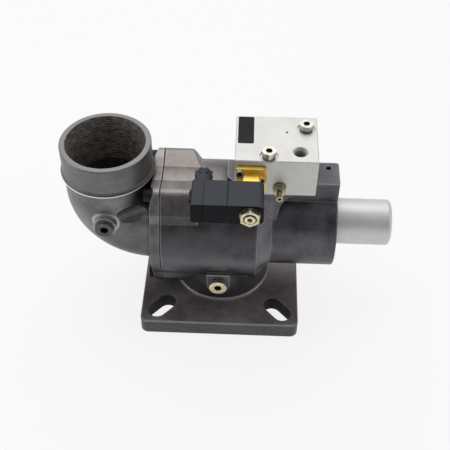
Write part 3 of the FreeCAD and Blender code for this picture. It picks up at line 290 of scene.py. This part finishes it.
def turning_group():
    """Fine rings left by turning, and the same rings mixed with a slow cloud for the colour."""
    group, given, out = new_group(
        "turning_rings",
        [("Vector", "NodeSocketVector", None), ("Stretch", "NodeSocketVector", (18.0, 18.0, 4000.0))],
        ["Rings", "Tone"])
    where = given.outputs["Vector"]
    along = node(group, "ShaderNodeMapping", {"Vector": where, "Scale": given.outputs["Stretch"]})
    rings = noise(group, along.outputs["Vector"], 1.0, 2.0)
    group.links.new(rings, out.inputs["Rings"])
    group.links.new(weighted(group, 0.5, rings, noise(group, where, 60.0, 3.0)), out.inputs["Tone"])
    return group


SKIN = skin_group()
LIT_TOP = lit_top_group()
ROUND_PATCH = round_patch_group()
CREASE = crease_group()
EDGE_LIGHT = edge_light_group()
TURNING = turning_group()


def placed(tree, group, inputs):
    return node(tree, "ShaderNodeGroup", inputs, node_tree=group)


def skin_node(tree, where, grain_mm, blotch_mm):
    return placed(tree, SKIN, {"Vector": where, "Grain size": grain_mm, "Blotch size": blotch_mm})


def faces_up(tree, start=0.35, full=0.9):
    normal = node(tree, "ShaderNodeTexCoord").outputs["Normal"]
    return placed(tree, LIT_TOP, {"Normal": normal, "Start": start, "Full": full}).outputs["Mask"]


def round_patch(tree, first, second, centre_mm, radius_mm, soft_mm=0.15):
    inputs = {"First": first, "Second": second, "First centre": centre_mm[0], "Second centre": centre_mm[1],
              "Radius": radius_mm, "Soft edge": soft_mm}
    return placed(tree, ROUND_PATCH, inputs).outputs["Mask"]


def crease(tree, reach_mm):
    return placed(tree, CREASE, {"Reach": reach_mm}).outputs["Mask"]


def outer_edges(tree, width_mm, crease_reach_mm):
    """Edges that stand out, without the inner corners."""
    edges = placed(tree, EDGE_LIGHT, {"Width": width_mm}).outputs["Mask"]
    return maths(tree, "SUBTRACT", edges, crease(tree, crease_reach_mm), clamp=True)


# What every material starts and ends with.

def start_material(name, metallic, roughness, specular=0.5):
    material = bpy.data.materials.new(name)
    material.use_nodes = True
    tree = material.node_tree
    shader = tree.nodes["Principled BSDF"]
    shader.inputs["Metallic"].default_value = metallic
    shader.inputs["Roughness"].default_value = roughness
    shader.inputs["Specular IOR Level"].default_value = specular
    where = node(tree, "ShaderNodeTexCoord").outputs["Object"]
    return material, tree, shader, where


def bumped(tree, shader, height, strength, distance_mm, edge_mm=0.0):
    """A small relief, and edges that catch light as if they were rounded."""
    inputs = {"Height": height, "Strength": strength, "Distance": distance_mm * MM}
    bump = node(tree, "ShaderNodeBump", inputs)
    if edge_mm:
        soft = node(tree, "ShaderNodeBevel", {"Radius": edge_mm * MM}, samples=6)
        tree.links.new(soft.outputs["Normal"], bump.inputs["Normal"])
    tree.links.new(bump.outputs["Normal"], shader.inputs["Normal"])


def plain_skin(name, dark, light, metallic, roughness, grain_mm, blotch_mm,
               bump=0.3, bump_mm=0.05, edge_mm=0.0, specular=0.5, lit_top=None):
    """A material of one stuff: two near tones mottled together, with a grain in its colour, gloss and height.

    With a lit-top colour, faces that point up carry it as painted light from above."""
    gloss_spread = 0.08
    material, tree, shader, where = start_material(name, metallic, roughness, specular)
    skin = skin_node(tree, where, grain_mm, blotch_mm)
    mottle = weighted(tree, 0.65, skin.outputs["Blotch"], skin.outputs["Grain"])
    base = blended(tree, contrast(tree, mottle, 0.15), dark, light)
    # Painted light: faces that point up take the lighter top colour.
    if lit_top:
        base = blended(tree, faces_up(tree), base, lit_top)
    tree.links.new(base, shader.inputs["Base Color"])
    gloss = contrast(tree, skin.outputs["Grain"], 0.2, roughness - gloss_spread, roughness + gloss_spread)
    tree.links.new(gloss, shader.inputs["Roughness"])
    bumped(tree, shader, skin.outputs["Height"], bump, bump_mm, edge_mm)
    return material


# Castings.

def body_cast_colour(tree, x, y, z, tone):
    """The body's cast skin, with tops painted warmer and lighter as light, painted light and shade in zones,
    painted shade in creases and painted highlights on edges.
    """
    cast = blended(tree, tone, colour(0.054, 0.051, 0.058), colour(0.150, 0.143, 0.156))
    # Painted light: the lobed part's faces that point up take a lighter, warmer colour.
    warm = blended(tree, tone, colour(0.140, 0.124, 0.116), colour(0.310, 0.288, 0.272))
    lobed_part = inverse(tree, above(tree, x, -5.0, 22.0))
    painted_lit_top = product(tree, faces_up(tree), lobed_part, above(tree, z, 95.0, 22.0))
    cast = blended(tree, painted_lit_top, cast, warm)

    # Painted shade on the barrel's front under the coil, and painted light low on its front.
    barrel_front = product(tree, below(tree, y, -45.0, 5.0), below(tree, x, SHOULDER_X - 1.0, 3.0))
    shade_under_coil = product(tree, barrel_front, within(tree, z, 99.0, 142.0, 9.0), 0.38)
    cast = blended(tree, shade_under_coil, cast, colour(0.030, 0.028, 0.034))
    light_low_front = product(tree, barrel_front, within(tree, z, 68.0, 92.0, 6.0), 0.30)
    cast = blended(tree, light_low_front, cast, colour(0.235, 0.230, 0.245))

    # Painted light on the bevelled shoulder at the barrel's right end.
    lit_shoulder = product(tree, within(tree, x, SHOULDER_X, SHOULDER_X + 15.0, 2.5),
                       below(tree, z, 150.0, 3.0), 0.55)
    lit_shoulder_colour = blended(tree, tone, colour(0.120, 0.118, 0.132), colour(0.260, 0.255, 0.285))
    cast = blended(tree, lit_shoulder, cast, lit_shoulder_colour)

    # Painted shade in creases, stronger higher up and weaker by the neck plug's boss.
    plug_x, plug_z = NECK_PLUG
    by_plug = product(tree, round_patch(tree, x, z, (plug_x, plug_z + 1.6), 20.0, 3.0),
                      below(tree, y, -40.0, 1.0))
    crease_shade_share = product(tree, crease(tree, 7.0), ranged(tree, z, 60.0 * MM, 90.0 * MM, 0.25, 0.8))
    crease_shade_share = product(tree, crease_shade_share, ranged(tree, by_plug, 0.0, 1.0, 1.0, 0.15))
    cast = blended(tree, crease_shade_share, cast, colour(0.022, 0.016, 0.013))

    # Painted light on the top of the neck plug's boss.
    lit_boss_top = product(tree, within(tree, z, 65.0, 66.8, 0.4), below(tree, y, -48.0, 1.0),
                       within(tree, x, plug_x - 14.0, plug_x + 14.0, 1.0), 0.8)
    cast = blended(tree, lit_boss_top, cast, colour(0.30, 0.29, 0.31))
    # A painted highlight round the neck's foot, just above the plate.
    neck_foot_highlight = product(tree, within(tree, z, PLATE_TOP + 0.8, PLATE_TOP + 2.6, 0.5), 0.8)
    cast = blended(tree, neck_foot_highlight, cast, colour(0.34, 0.33, 0.35))
    # Painted highlights on the outer edges.
    edge_highlight_share = product(tree, outer_edges(tree, 2.4, 7.0), 0.45)
    return blended(tree, edge_highlight_share, cast, colour(0.50, 0.49, 0.52))


def plate_colour(tree, where, y, z, blotch):
    """The plate's milled skin, browner on top and lighter there as painted light, with a painted highlight
    along its front edge.
    """
    cutter_lines = noise(tree, stretched(tree, where, 260.0, 1300.0, 260.0), 1.0, 4.0)
    tone = contrast(tree, weighted(tree, 0.6, blotch, cutter_lines), 0.14)
    sides = blended(tree, tone, colour(0.041, 0.040, 0.044), colour(0.100, 0.097, 0.104))
    # The top's browner hue is the plate's own; its greater lightness is painted light from above.
    top = blended(tree, tone, colour(0.140, 0.118, 0.118), colour(0.300, 0.268, 0.263))
    milled = blended(tree, faces_up(tree), sides, top)
    # A painted highlight along the plate's top front edge.
    front_edge_highlight = product(tree, below(tree, y, 1.8 - PLATE_HALF, 0.4),
                         within(tree, z, PLATE_TOP - 1.1, PLATE_TOP + 0.6, 0.4), 0.8)
    return blended(tree, front_edge_highlight, milled, colour(0.42, 0.40, 0.40))


def body_casting():
    """Cast skin above and the milled plate below, painted black as shade and made rough and non-metallic
    inside the plate's slots.
    """
    cast_metallic = 0.85
    plate_metallic = 0.55
    material, tree, shader, where = start_material("body_casting", cast_metallic, 0.38)
    x, y, z = split(tree, where)
    skin = skin_node(tree, where, 0.9, 28.0)
    mottle = weighted(tree, 0.55, skin.outputs["Blotch"], skin.outputs["Speckle"])
    cast = body_cast_colour(tree, x, y, z, contrast(tree, mottle, 0.12))
    milled = plate_colour(tree, where, y, z, skin.outputs["Blotch"])
    # Painted shade: the slots' insides are painted black.
    in_slots = product(tree, within(tree, x, -SLOTS_REACH, SLOTS_REACH),
                       within(tree, y, -SLOTS_REACH, SLOTS_REACH), below(tree, z, PLATE_TOP - 0.6, 0.4))
    milled = blended(tree, in_slots, milled, colour(0.006, 0.006, 0.006))
    plate = below(tree, z, PLATE_TOP + 0.6, 0.3)
    tree.links.new(blended(tree, plate, cast, milled), shader.inputs["Base Color"])
    dull_slots = product(tree, plate, in_slots)
    metallic = ranged(tree, plate, 0.0, 1.0, cast_metallic, plate_metallic)
    metallic = maths(tree, "SUBTRACT", metallic, product(tree, dull_slots, plate_metallic))
    tree.links.new(metallic, shader.inputs["Metallic"])
    gloss = contrast(tree, mottle, 0.12, 0.30, 0.54)
    tree.links.new(maths(tree, "ADD", gloss, product(tree, dull_slots, 0.4)), shader.inputs["Roughness"])
    height = maths(tree, "ADD", skin.outputs["Height"], product(tree, skin.outputs["Speckle"], 0.5))
    bumped(tree, shader, height, 0.45, 0.12, 1.2)
    return material


def elbow_cast_colour(tree, x, z, tone):
    """The elbow's cast skin: the flange's top painted warmer and lighter as light, painted shade low in the
    bend and painted light on its left.
    """
    cast = blended(tree, tone, colour(0.085, 0.083, 0.086), colour(0.240, 0.235, 0.240))
    # Painted light: the flange's faces that point up take a lighter, warmer colour.
    warm = blended(tree, tone, colour(0.140, 0.124, 0.116), colour(0.340, 0.315, 0.295))
    flange = product(tree, above(tree, x, FLANGE_X, 2.0), above(tree, z, 95.0, 22.0))
    cast = blended(tree, product(tree, faces_up(tree, 0.2, 0.8), flange), cast, warm)
    # Painted shade in the creases.
    cast = blended(tree, product(tree, crease(tree, 7.0), 0.8), cast, colour(0.022, 0.018, 0.015))
    # Painted highlights on the outer edges.
    edge_highlight_share = product(tree, outer_edges(tree, 2.4, 7.0), 0.40)
    cast = blended(tree, edge_highlight_share, cast, colour(0.50, 0.49, 0.52))
    bend_left_x = -128.0
    # Painted shade low in the bend.
    bend_low_shade = product(tree, below(tree, z, 112.0, 12.0), above(tree, x, bend_left_x, 14.0), 0.38)
    cast = blended(tree, bend_low_shade, cast, colour(0.060, 0.058, 0.060))
    # Painted light on the bend's left side.
    bend_left_light = product(tree, within(tree, z, 98.0, 148.0, 10.0), below(tree, x, bend_left_x, 12.0), 0.35)
    return blended(tree, bend_left_light, cast, colour(0.360, 0.355, 0.365))


def hose_neck_colour(tree, x, y, z, radius, mottle, turned_lines, neck, cast):
    """The turned neck over the cast skin, with its rim, a painted shadow line above the stop ring, a painted
    light band under it, and the stop ring that catches light on its left.
    """
    patchy = weighted(tree, 0.4, turned_lines, mottle)
    turned = blended(tree, contrast(tree, patchy, 0.12),
                     colour(0.105, 0.104, 0.109), colour(0.210, 0.208, 0.215))
    skin = blended(tree, neck, cast, turned)
    rim = product(tree, above(tree, z, HOSE_NECK_TOP - 0.6, 0.15), above(tree, radius, 39.8, 0.2))
    skin = blended(tree, rim, skin, colour(0.215, 0.212, 0.215))
    # A painted shadow line just above the stop ring.
    ring_shadow_line = product(tree, within(tree, z, STOP_RING_TOP + 0.1, STOP_RING_TOP + 1.2, 0.3),
                     above(tree, radius, 45.0, 0.2))
    skin = blended(tree, ring_shadow_line, skin, colour(0.045, 0.045, 0.047))
    lit_side = ranged(tree, maths(tree, "ADD", x, y), -170.0 * MM, -80.0 * MM, 1.0, 0.25)
    # A painted light band under the stop ring on its lit side.
    light_band_under_ring = product(tree, within(tree, z, STOP_RING_TOP - 4.8, STOP_RING_TOP + 0.2, 1.2),
                         above(tree, radius, 44.6, 0.3))
    skin = blended(tree, product(tree, light_band_under_ring, lit_side, 0.45), skin, colour(0.50, 0.49, 0.53))
    ring = product(tree, within(tree, z, STOP_RING_TOP - 1.8, STOP_RING_TOP, 0.2),
                   above(tree, radius, 45.9, 0.2))
    return blended(tree, product(tree, ring, lit_side), skin, colour(0.90, 0.89, 0.93))


def elbow_casting():
    """Cast bend, turned hose neck, and the rough cast bore inside it."""
    outside_metallic = 0.85
    bore_metallic = 0.25
    material, tree, shader, where = start_material("elbow_casting", outside_metallic, 0.38)
    x, y, z = split(tree, where)
    skin = skin_node(tree, where, 0.9, 26.0)
    mottle = weighted(tree, 0.6, skin.outputs["Blotch"], skin.outputs["Speckle"])
    cast = elbow_cast_colour(tree, x, z, contrast(tree, mottle, 0.13))

    radius = radius_from(tree, x, y, HOSE_NECK)
    turned_lines = noise(tree, stretched(tree, where, 60.0, 60.0, 2200.0), 1.0, 2.0)
    neck = product(tree, above(tree, z, STOP_RING_TOP - 0.2, 0.2), above(tree, radius, 40.2, 0.2))
    outside = hose_neck_colour(tree, x, y, z, radius, mottle, turned_lines, neck, cast)

    boss_and_fillet = round_patch(tree, x, z, ELBOW_PLUG, 13.8, 0.9)
    boss = round_patch(tree, x, z, ELBOW_PLUG, 10.4, 0.9)
    fillet = maths(tree, "SUBTRACT", boss_and_fillet, boss, clamp=True)
    lit_fillet = product(tree, fillet, below(tree, y, -30.0, 2.0), 0.85)
    outside = blended(tree, lit_fillet, outside, colour(0.52, 0.51, 0.53))

    streaks = noise(tree, stretched(tree, where, 150.0, 150.0, 1150.0), 1.0, 8.0, 0.72)
    bore_colour = blended(tree, ranged(tree, streaks, 0.42, 0.66, 0.0, 1.0),
                          colour(0.034, 0.029, 0.026), colour(0.500, 0.450, 0.415))
    bore = product(tree, inverse(tree, above(tree, radius, 39.6, 0.1)), above(tree, z, 138.5, 2.0))
    tree.links.new(blended(tree, bore, outside, bore_colour), shader.inputs["Base Color"])
    tree.links.new(ranged(tree, bore, 0.0, 1.0, outside_metallic, bore_metallic), shader.inputs["Metallic"])
    gloss = contrast(tree, skin.outputs["Grain"], 0.2, 0.36, 0.50)
    tree.links.new(maths(tree, "ADD", gloss, product(tree, bore, 0.3)), shader.inputs["Roughness"])

    rough_height = product(tree, streaks, product(tree, bore, 9.0))
    lines_height = product(tree, turned_lines, product(tree, neck, 0.3))
    cast_height = product(tree, skin.outputs["Height"], inverse(tree, neck))
    height = maths(tree, "ADD", cast_height, maths(tree, "ADD", rough_height, lines_height))
    bumped(tree, shader, height, 0.4, 0.10, 1.0)
    return material


# Machined pieces.

def turned_metal(name, dark, light, metallic, roughness, bump=0.12):
    """Metal with the fine rings that turning leaves, round an axis along X."""
    line_mm = 0.25
    gloss_spread = 0.05
    material, tree, shader, where = start_material(name, metallic, roughness)
    made = placed(tree, TURNING, {"Vector": where, "Stretch": (1.0 / (line_mm * MM), 18.0, 18.0)})
    rings = made.outputs["Rings"]
    tone = contrast(tree, made.outputs["Tone"], 0.15)
    tree.links.new(blended(tree, tone, dark, light), shader.inputs["Base Color"])
    gloss = contrast(tree, rings, 0.2, roughness - gloss_spread, roughness + gloss_spread)
    tree.links.new(gloss, shader.inputs["Roughness"])
    bumped(tree, shader, rings, bump, 0.02, 0.25)
    return material


def block_aluminium():
    """Milled block, shaded down its control port, and painted black as shade in its vent hole."""
    material, tree, shader, where = start_material("block_aluminium", 0.45, 0.42)
    x, y, z = split(tree, where)
    milled = noise(tree, stretched(tree, where, 90.0, 2400.0, 90.0), 1.0, 3.0)
    tone = contrast(tree, weighted(tree, 0.4, milled, noise(tree, where, 45.0, 3.0)), 0.15)
    base = blended(tree, tone, colour(0.585, 0.58, 0.56), colour(0.685, 0.68, 0.66))
    down_port = product(tree, round_patch(tree, x, y, CONTROL_PORT, 7.3),
                        below(tree, z, BLOCK_TOP - 5.9, 5.0), 0.85)
    base = blended(tree, down_port, base, colour(0.10, 0.095, 0.09))
    # Painted shade: the vent hole is painted black.
    vent = round_patch(tree, x, y, VENT, 1.25, 0.1)
    tree.links.new(blended(tree, vent, base, colour(0.008, 0.008, 0.008)), shader.inputs["Base Color"])
    tree.links.new(contrast(tree, milled, 0.2, 0.38, 0.47), shader.inputs["Roughness"])
    bumped(tree, shader, milled, 0.08, 0.02, 0.35)
    return material


def block_screw_steel():
    """Bright plating for the block's two screws, with painted shade in their sockets and at the foot of their
    heads.
    """
    socket_r = 3.7
    material, tree, shader, where = start_material("bright_steel", 0.95, 0.26)
    x, y, z = split(tree, where)
    skin = skin_node(tree, where, 0.5, 4.0)
    base = blended(tree, contrast(tree, skin.outputs["Blotch"], 0.15),
                   colour(0.46, 0.45, 0.38), colour(0.68, 0.67, 0.60))
    sockets = maths(tree, "MAXIMUM", round_patch(tree, x, y, FRONT_BLOCK_SCREW, socket_r, 0.1),
                    round_patch(tree, x, y, REAR_BLOCK_SCREW, socket_r, 0.1))
    # Painted shade in the sockets and at the foot of the heads.
    sunk = product(tree, sockets, below(tree, z, BLOCK_SCREW_TOP - 0.3, 0.3), 0.85)
    foot = product(tree, below(tree, z, BLOCK_TOP + 1.0, 1.0), 0.7)
    shade = maths(tree, "MAXIMUM", sunk, foot)
    tree.links.new(blended(tree, shade, base, colour(0.10, 0.10, 0.065)), shader.inputs["Base Color"])
    bumped(tree, shader, skin.outputs["Height"], 0.12, 0.05, 0.3)
    return material


def coil_nut_shade(tree, x, y, z):
    """The ring where the coil nut meets its tube, and the foot of its flats."""
    tube = maths(tree, "SUBTRACT", round_patch(tree, x, z, COIL_NUT, 6.4, 0.2),
                 round_patch(tree, x, z, COIL_NUT, 5.0, 0.2), clamp=True)
    off_the_face = inverse(tree, round_patch(tree, x, z, COIL_NUT, 8.2, 0.3))
    flats_foot = product(tree, off_the_face, within(tree, y, -86.9, -85.6, 0.2), 0.9)
    return product(tree, maths(tree, "MAXIMUM", tube, flats_foot), below(tree, y, -80.0, 1.0))


def zinc_plating():
    """Yellowish zinc of the plug and the nuts, worn dark on the adjusting screw and its locknut."""
    material, tree, shader, where = start_material("zinc_steel", 0.95, 0.22)
    x, y, z = split(tree, where)
    skin = skin_node(tree, where, 0.5, 3.0)
    base = blended(tree, contrast(tree, skin.outputs["Blotch"], 0.15),
                   colour(0.42, 0.38, 0.23), colour(0.82, 0.78, 0.58))
    worn = blended(tree, contrast(tree, skin.outputs["Grain"], 0.08),
                   colour(0.13, 0.105, 0.045), colour(0.66, 0.61, 0.43))
    adjuster = product(tree, above(tree, z, 155.0, 2.0), above(tree, x, 45.0, 1.0))
    base = blended(tree, adjuster, base, worn)
    # Painted shade in the neck plug's socket.
    plug_socket = product(tree, round_patch(tree, x, z, NECK_PLUG, 4.3, 0.3), below(tree, z, 100.0, 1.0), 0.9)
    base = blended(tree, plug_socket, base, colour(0.16, 0.13, 0.045))
    # Painted shade at the coil nut's tube ring and flats, and in small inner corners.
    nut_and_crease_shade = maths(tree, "MAXIMUM", coil_nut_shade(tree, x, y, z), product(tree, crease(tree, 1.6), 0.75))
    tree.links.new(blended(tree, nut_and_crease_shade, base, colour(0.07, 0.06, 0.025)), shader.inputs["Base Color"])
    bumped(tree, shader, skin.outputs["Height"], 0.15, 0.05, 0.3)
    return material


def dark_plating():
    """Blackened steel of the elbow's plug, and the browner heads of the pilot valve's two screws."""
    material, tree, shader, where = start_material("dark_steel", 0.7, 0.36)
    x, y, z = split(tree, where)
    skin = skin_node(tree, where, 0.4, 6.0)
    tone = contrast(tree, skin.outputs["Blotch"], 0.15)
    plug = blended(tree, tone, colour(0.070, 0.068, 0.070), colour(0.135, 0.132, 0.135))
    heads = blended(tree, tone, colour(0.26, 0.235, 0.18), colour(0.42, 0.385, 0.31))
    base = blended(tree, above(tree, x, -40.0, 5.0), plug, heads)
    # Painted shade: the sockets of the elbow plug and the pilot screws are painted black.
    sockets = round_patch(tree, x, z, ELBOW_PLUG, 4.4, 0.2)
    for screw in PILOT_SCREWS:
        sockets = maths(tree, "MAXIMUM", sockets, round_patch(tree, x, z, screw, 1.9, 0.1))
    tree.links.new(blended(tree, sockets, base, colour(0.006, 0.006, 0.006)), shader.inputs["Base Color"])
    bumped(tree, shader, skin.outputs["Height"], 0.2, 0.05, 0.3)
    return material


def make_materials():
    """One material for each finish that the record names."""
    return {
        "body_casting": body_casting(),
        "elbow_casting": elbow_casting(),
        "block_aluminium": block_aluminium(),
        "turned_aluminium": turned_metal(
            "turned_aluminium", colour(0.62, 0.62, 0.615), colour(0.70, 0.70, 0.695), 0.78, 0.52, bump=0.05),
        "gasket_sheet": plain_skin(
            "gasket_sheet", colour(0.012, 0.012, 0.013), colour(0.028, 0.027, 0.027), 0.0, 0.8, 0.5, 8.0),
        "black_steel": plain_skin(
            "black_steel", colour(0.010, 0.010, 0.011), colour(0.024, 0.023, 0.024), 0.3, 0.40, 0.4, 6.0,
            edge_mm=0.25, specular=0.25),
        "dark_steel": dark_plating(),
        "sealing_washer": plain_skin(
            "sealing_washer", colour(0.30, 0.30, 0.29), colour(0.45, 0.45, 0.44), 0.8, 0.45, 0.4, 6.0,
            edge_mm=0.15),
        "zinc_steel": zinc_plating(),
        "steel": turned_metal("steel", colour(0.42, 0.42, 0.42), colour(0.56, 0.56, 0.56), 0.95, 0.33),
        "rubber": plain_skin(
            "rubber", colour(0.014, 0.014, 0.014), colour(0.026, 0.026, 0.026), 0.0, 0.7, 0.3, 8.0),
        "bronze": turned_metal("bronze", colour(0.45, 0.28, 0.13), colour(0.60, 0.39, 0.20), 0.95, 0.35),
        "spring_steel": plain_skin(
            "spring_steel", colour(0.28, 0.28, 0.29), colour(0.40, 0.40, 0.41), 0.9, 0.33, 0.5, 8.0),
        "bright_steel": block_screw_steel(),
        "brass": plain_skin(
            "brass", colour(0.72, 0.47, 0.06), colour(0.93, 0.68, 0.18), 0.85, 0.32, 0.5, 8.0,
            bump=0.15, edge_mm=0.3),
        # Black plastic, its faces that point up painted lighter as light from above.
        "black_plastic": plain_skin(
            "black_plastic", colour(0.003, 0.004, 0.006), colour(0.007, 0.008, 0.012), 0.0, 0.42, 0.35, 12.0,
            bump=0.25, bump_mm=0.03, edge_mm=0.6, specular=0.10, lit_top=colour(0.050, 0.054, 0.065)),
    }


def dress_frame(materials):
    """Gives each CAD piece the record's finish, and the connector's screw the black of the photograph."""
    wanted = {part["node"]: part["material_slot"] for part in frame["record"]["subparts"]}
    wanted["connector_screw"] = "black_steel"
    for name, item in frame["nodes"].items():
        material = materials[wanted[name]]
        if not item.material_slots:
            item.data.materials.append(material)
        for slot in item.material_slots:
            slot.material = material


# Added pieces.

def finish_piece(item, name, body, material, smooth_angle=35.0):
    """Applies a piece's place to its mesh, turns its faces outwards, and names its finish and its body."""
    item.name = name
    item.data.name = name
    bpy.ops.object.select_all(action="DESELECT")
    item.select_set(True)
    bpy.context.view_layer.objects.active = item
    bpy.ops.object.transform_apply(location=True, rotation=True, scale=True)
    bpy.ops.object.mode_set(mode="EDIT")
    bpy.ops.mesh.select_all(action="SELECT")
    bpy.ops.mesh.fill_holes(sides=3)
    bpy.ops.mesh.select_all(action="SELECT")
    bpy.ops.mesh.normals_make_consistent(inside=False)
    bpy.ops.object.mode_set(mode="OBJECT")
    bpy.ops.object.shade_smooth_by_angle(angle=math.radians(smooth_angle))
    item.data.materials.append(material)
    item.select_set(False)
    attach(item, body)


def thread(name, foot_mm, turned_x, turns, wall_r, crest_r, pitch_mm, body, material):
    """One helical ridge on a wall: a three-sided section that a Screw modifier winds along the axis."""
    height = crest_r - wall_r
    width = 0.88 * pitch_mm
    quarter = math.radians(90)
    bpy.ops.object.select_all(action="DESELECT")
    bpy.ops.mesh.primitive_circle_add(vertices=3, radius=1.0, fill_type="NGON",
                                      location=((wall_r + height / 3) * MM, 0, 0),
                                      rotation=(quarter, math.copysign(quarter, height), 0))
    item = bpy.context.object
    item.scale = (width / math.sqrt(3) * MM, abs(height) / 1.5 * MM, 1.0)
    bpy.ops.object.transform_apply(location=True, rotation=True, scale=True)
    helix = item.modifiers.new("helix", "SCREW")
    helix.axis = "Z"
    helix.angle = 2 * math.pi
    helix.screw_offset = pitch_mm * MM
    helix.iterations = turns
    helix.steps = 36
    helix.render_steps = 36
    bpy.ops.object.modifier_apply(modifier="helix")
    item.rotation_euler = (math.radians(turned_x), 0, 0)
    item.location = Vector(foot_mm) * MM
    finish_piece(item, name, body, material)


def label_plate():
    """A thin bare plate on the block's top, with rounded corners and a narrow raised border."""
    centre_x = 22.05
    centre_y = 11.45
    width = 15.3
    length = 39.9
    corner_r = 1.2
    thickness = 0.22
    edge_break = 0.08
    border = 0.52
    border_step = 0.06
    material = plain_skin("label_film", colour(0.014, 0.0135, 0.014), colour(0.024, 0.023, 0.0235),
                          0.0, 0.50, 0.3, 10.0, bump=0.1, bump_mm=0.02, specular=0.10)
    bpy.ops.object.select_all(action="DESELECT")
    bpy.ops.mesh.primitive_plane_add(size=1.0, location=(centre_x * MM, centre_y * MM, BLOCK_TOP * MM))
    item = bpy.context.object
    item.scale = (width * MM, length * MM, 1.0)
    bpy.ops.object.transform_apply(location=False, rotation=False, scale=True)
    bpy.ops.object.mode_set(mode="EDIT")
    bpy.ops.mesh.select_all(action="SELECT")
    bpy.ops.mesh.bevel(affect="VERTICES", offset=corner_r * MM, segments=6)
    bpy.ops.mesh.extrude_region_move(TRANSFORM_OT_translate={"value": (0, 0, thickness * MM)})
    bpy.ops.mesh.inset(thickness=edge_break * MM, depth=edge_break * MM)
    bpy.ops.mesh.inset(thickness=border * MM, depth=0)
    bpy.ops.mesh.inset(thickness=2 * border_step * MM, depth=-border_step * MM)
    bpy.ops.object.mode_set(mode="OBJECT")
    finish_piece(item, "label_plate", "housing", material, 30.0)


def add_threads(materials):
    """Ridges in the control port and the bracket hole, and on the end of the adjusting screw."""
    port_x, port_y = CONTROL_PORT
    thread("control_port_thread", (port_x, port_y, BLOCK_TOP - 13.6), 0, 9, 6.57, 5.75, 1.337,
           "housing", materials["block_aluminium"])
    bracket_x, bracket_y = BRACKET_HOLE
    thread("bracket_hole_thread", (bracket_x, bracket_y, 147.2), 0, 12, 2.99, 2.5, 1.0,
           "housing", materials["body_casting"])
    screw_x, screw_z = ADJUSTING_SCREW
    thread("adjusting_screw_thread", (screw_x, -49.7, screw_z), -90, 5, 3.19, 3.45, 1.0,
           "needle", materials["zinc_steel"])


# Studio.

def area_light(name, place, size_x, size_y, watts):
    """A soft box in metres, turned to the part's middle."""
    target = Vector((0.0, 0.0, 0.1))
    data = bpy.data.lights.new(name, "AREA")
    data.shape = "RECTANGLE"
    data.size = size_x
    data.size_y = size_y
    data.energy = watts
    item = bpy.data.objects.new(name, data)
    item.location = place
    item.rotation_euler = (target - Vector(place)).to_track_quat("-Z", "Y").to_euler()
    bpy.context.scene.collection.objects.link(item)


def sky():
    """Darker in front and lighter behind and overhead, as the part's tops and fronts reflect it."""
    world = bpy.data.worlds.new("studio")
    bpy.context.scene.world = world
    world.use_nodes = True
    tree = world.node_tree
    tree.nodes.clear()
    x, y, z = split(tree, node(tree, "ShaderNodeTexCoord").outputs["Generated"])
    behind = ranged(tree, y, -0.15, 0.55, 0.0, 1.0)
    overhead = ranged(tree, z, 0.55, 0.95, 0.0, 0.75)
    share = maths(tree, "MAXIMUM", behind, overhead)
    tones = blended(tree, share, colour(0.20, 0.205, 0.22), colour(0.66, 0.655, 0.64))
    soft = node(tree, "ShaderNodeBackground", {"Color": tones, "Strength": 1.0})
    node(tree, "ShaderNodeOutputWorld", {"Surface": soft.outputs[0]})


def studio_paper():
    """Pale paper that shadows fall on, lifted nearly to white for the rays that see it."""
    lifted = 0.84
    material = bpy.data.materials.new("floor_paper")
    material.use_nodes = True
    tree = material.node_tree
    tree.nodes.clear()
    path = node(tree, "ShaderNodeLightPath")
    seen = maths(tree, "ADD", path.outputs["Is Camera Ray"], path.outputs["Is Glossy Ray"], clamp=True)
    seen = maths(tree, "ADD", seen, path.outputs["Is Transmission Ray"], clamp=True)
    lit = node(tree, "ShaderNodeBsdfDiffuse", {"Color": colour(0.86, 0.85, 0.83)})
    glow = node(tree, "ShaderNodeEmission", {"Color": colour(1, 1, 1), "Strength": 1.0})
    mixed = node(tree, "ShaderNodeMixShader", {"Fac": product(tree, seen, lifted)})
    tree.links.new(lit.outputs[0], mixed.inputs[1])
    tree.links.new(glow.outputs[0], mixed.inputs[2])
    node(tree, "ShaderNodeOutputMaterial", {"Surface": mixed.outputs[0]})
    return material


def floor_and_backdrop():
    """A wide floor and a round wall far behind it, both of the same paper."""
    bpy.ops.object.select_all(action="DESELECT")
    bpy.ops.mesh.primitive_plane_add(size=80.0, location=(0, 0, -0.3 * MM))
    floor = bpy.context.object
    floor.name = "floor"
    bpy.ops.object.select_all(action="DESELECT")
    bpy.ops.mesh.primitive_cylinder_add(vertices=96, radius=35.0, depth=6.0, end_fill_type="NOTHING",
                                        location=(0, 0, 3.0))
    backdrop = bpy.context.object
    backdrop.name = "backdrop"
    backdrop.select_set(False)
    paper = studio_paper()
    floor.data.materials.append(paper)
    backdrop.data.materials.append(paper)


def studio():
    bpy.context.scene.view_settings.view_transform = "Standard"
    sky()
    floor_and_backdrop()
    area_light("overhead_box", (-0.1, 0.40, 1.25), 1.0, 0.6, 4.5)
    area_light("back_box", (-0.1, 1.25, 1.30), 1.7, 0.7, 4.0)
    area_light("left_box", (-1.3, -0.2, 0.75), 0.8, 0.8, 4.0)
    area_light("right_box", (1.3, -0.3, 0.7), 0.8, 0.8, 2.6)


place_camera()
studio()
materials = make_materials()
dress_frame(materials)
label_plate()
add_threads(materials)
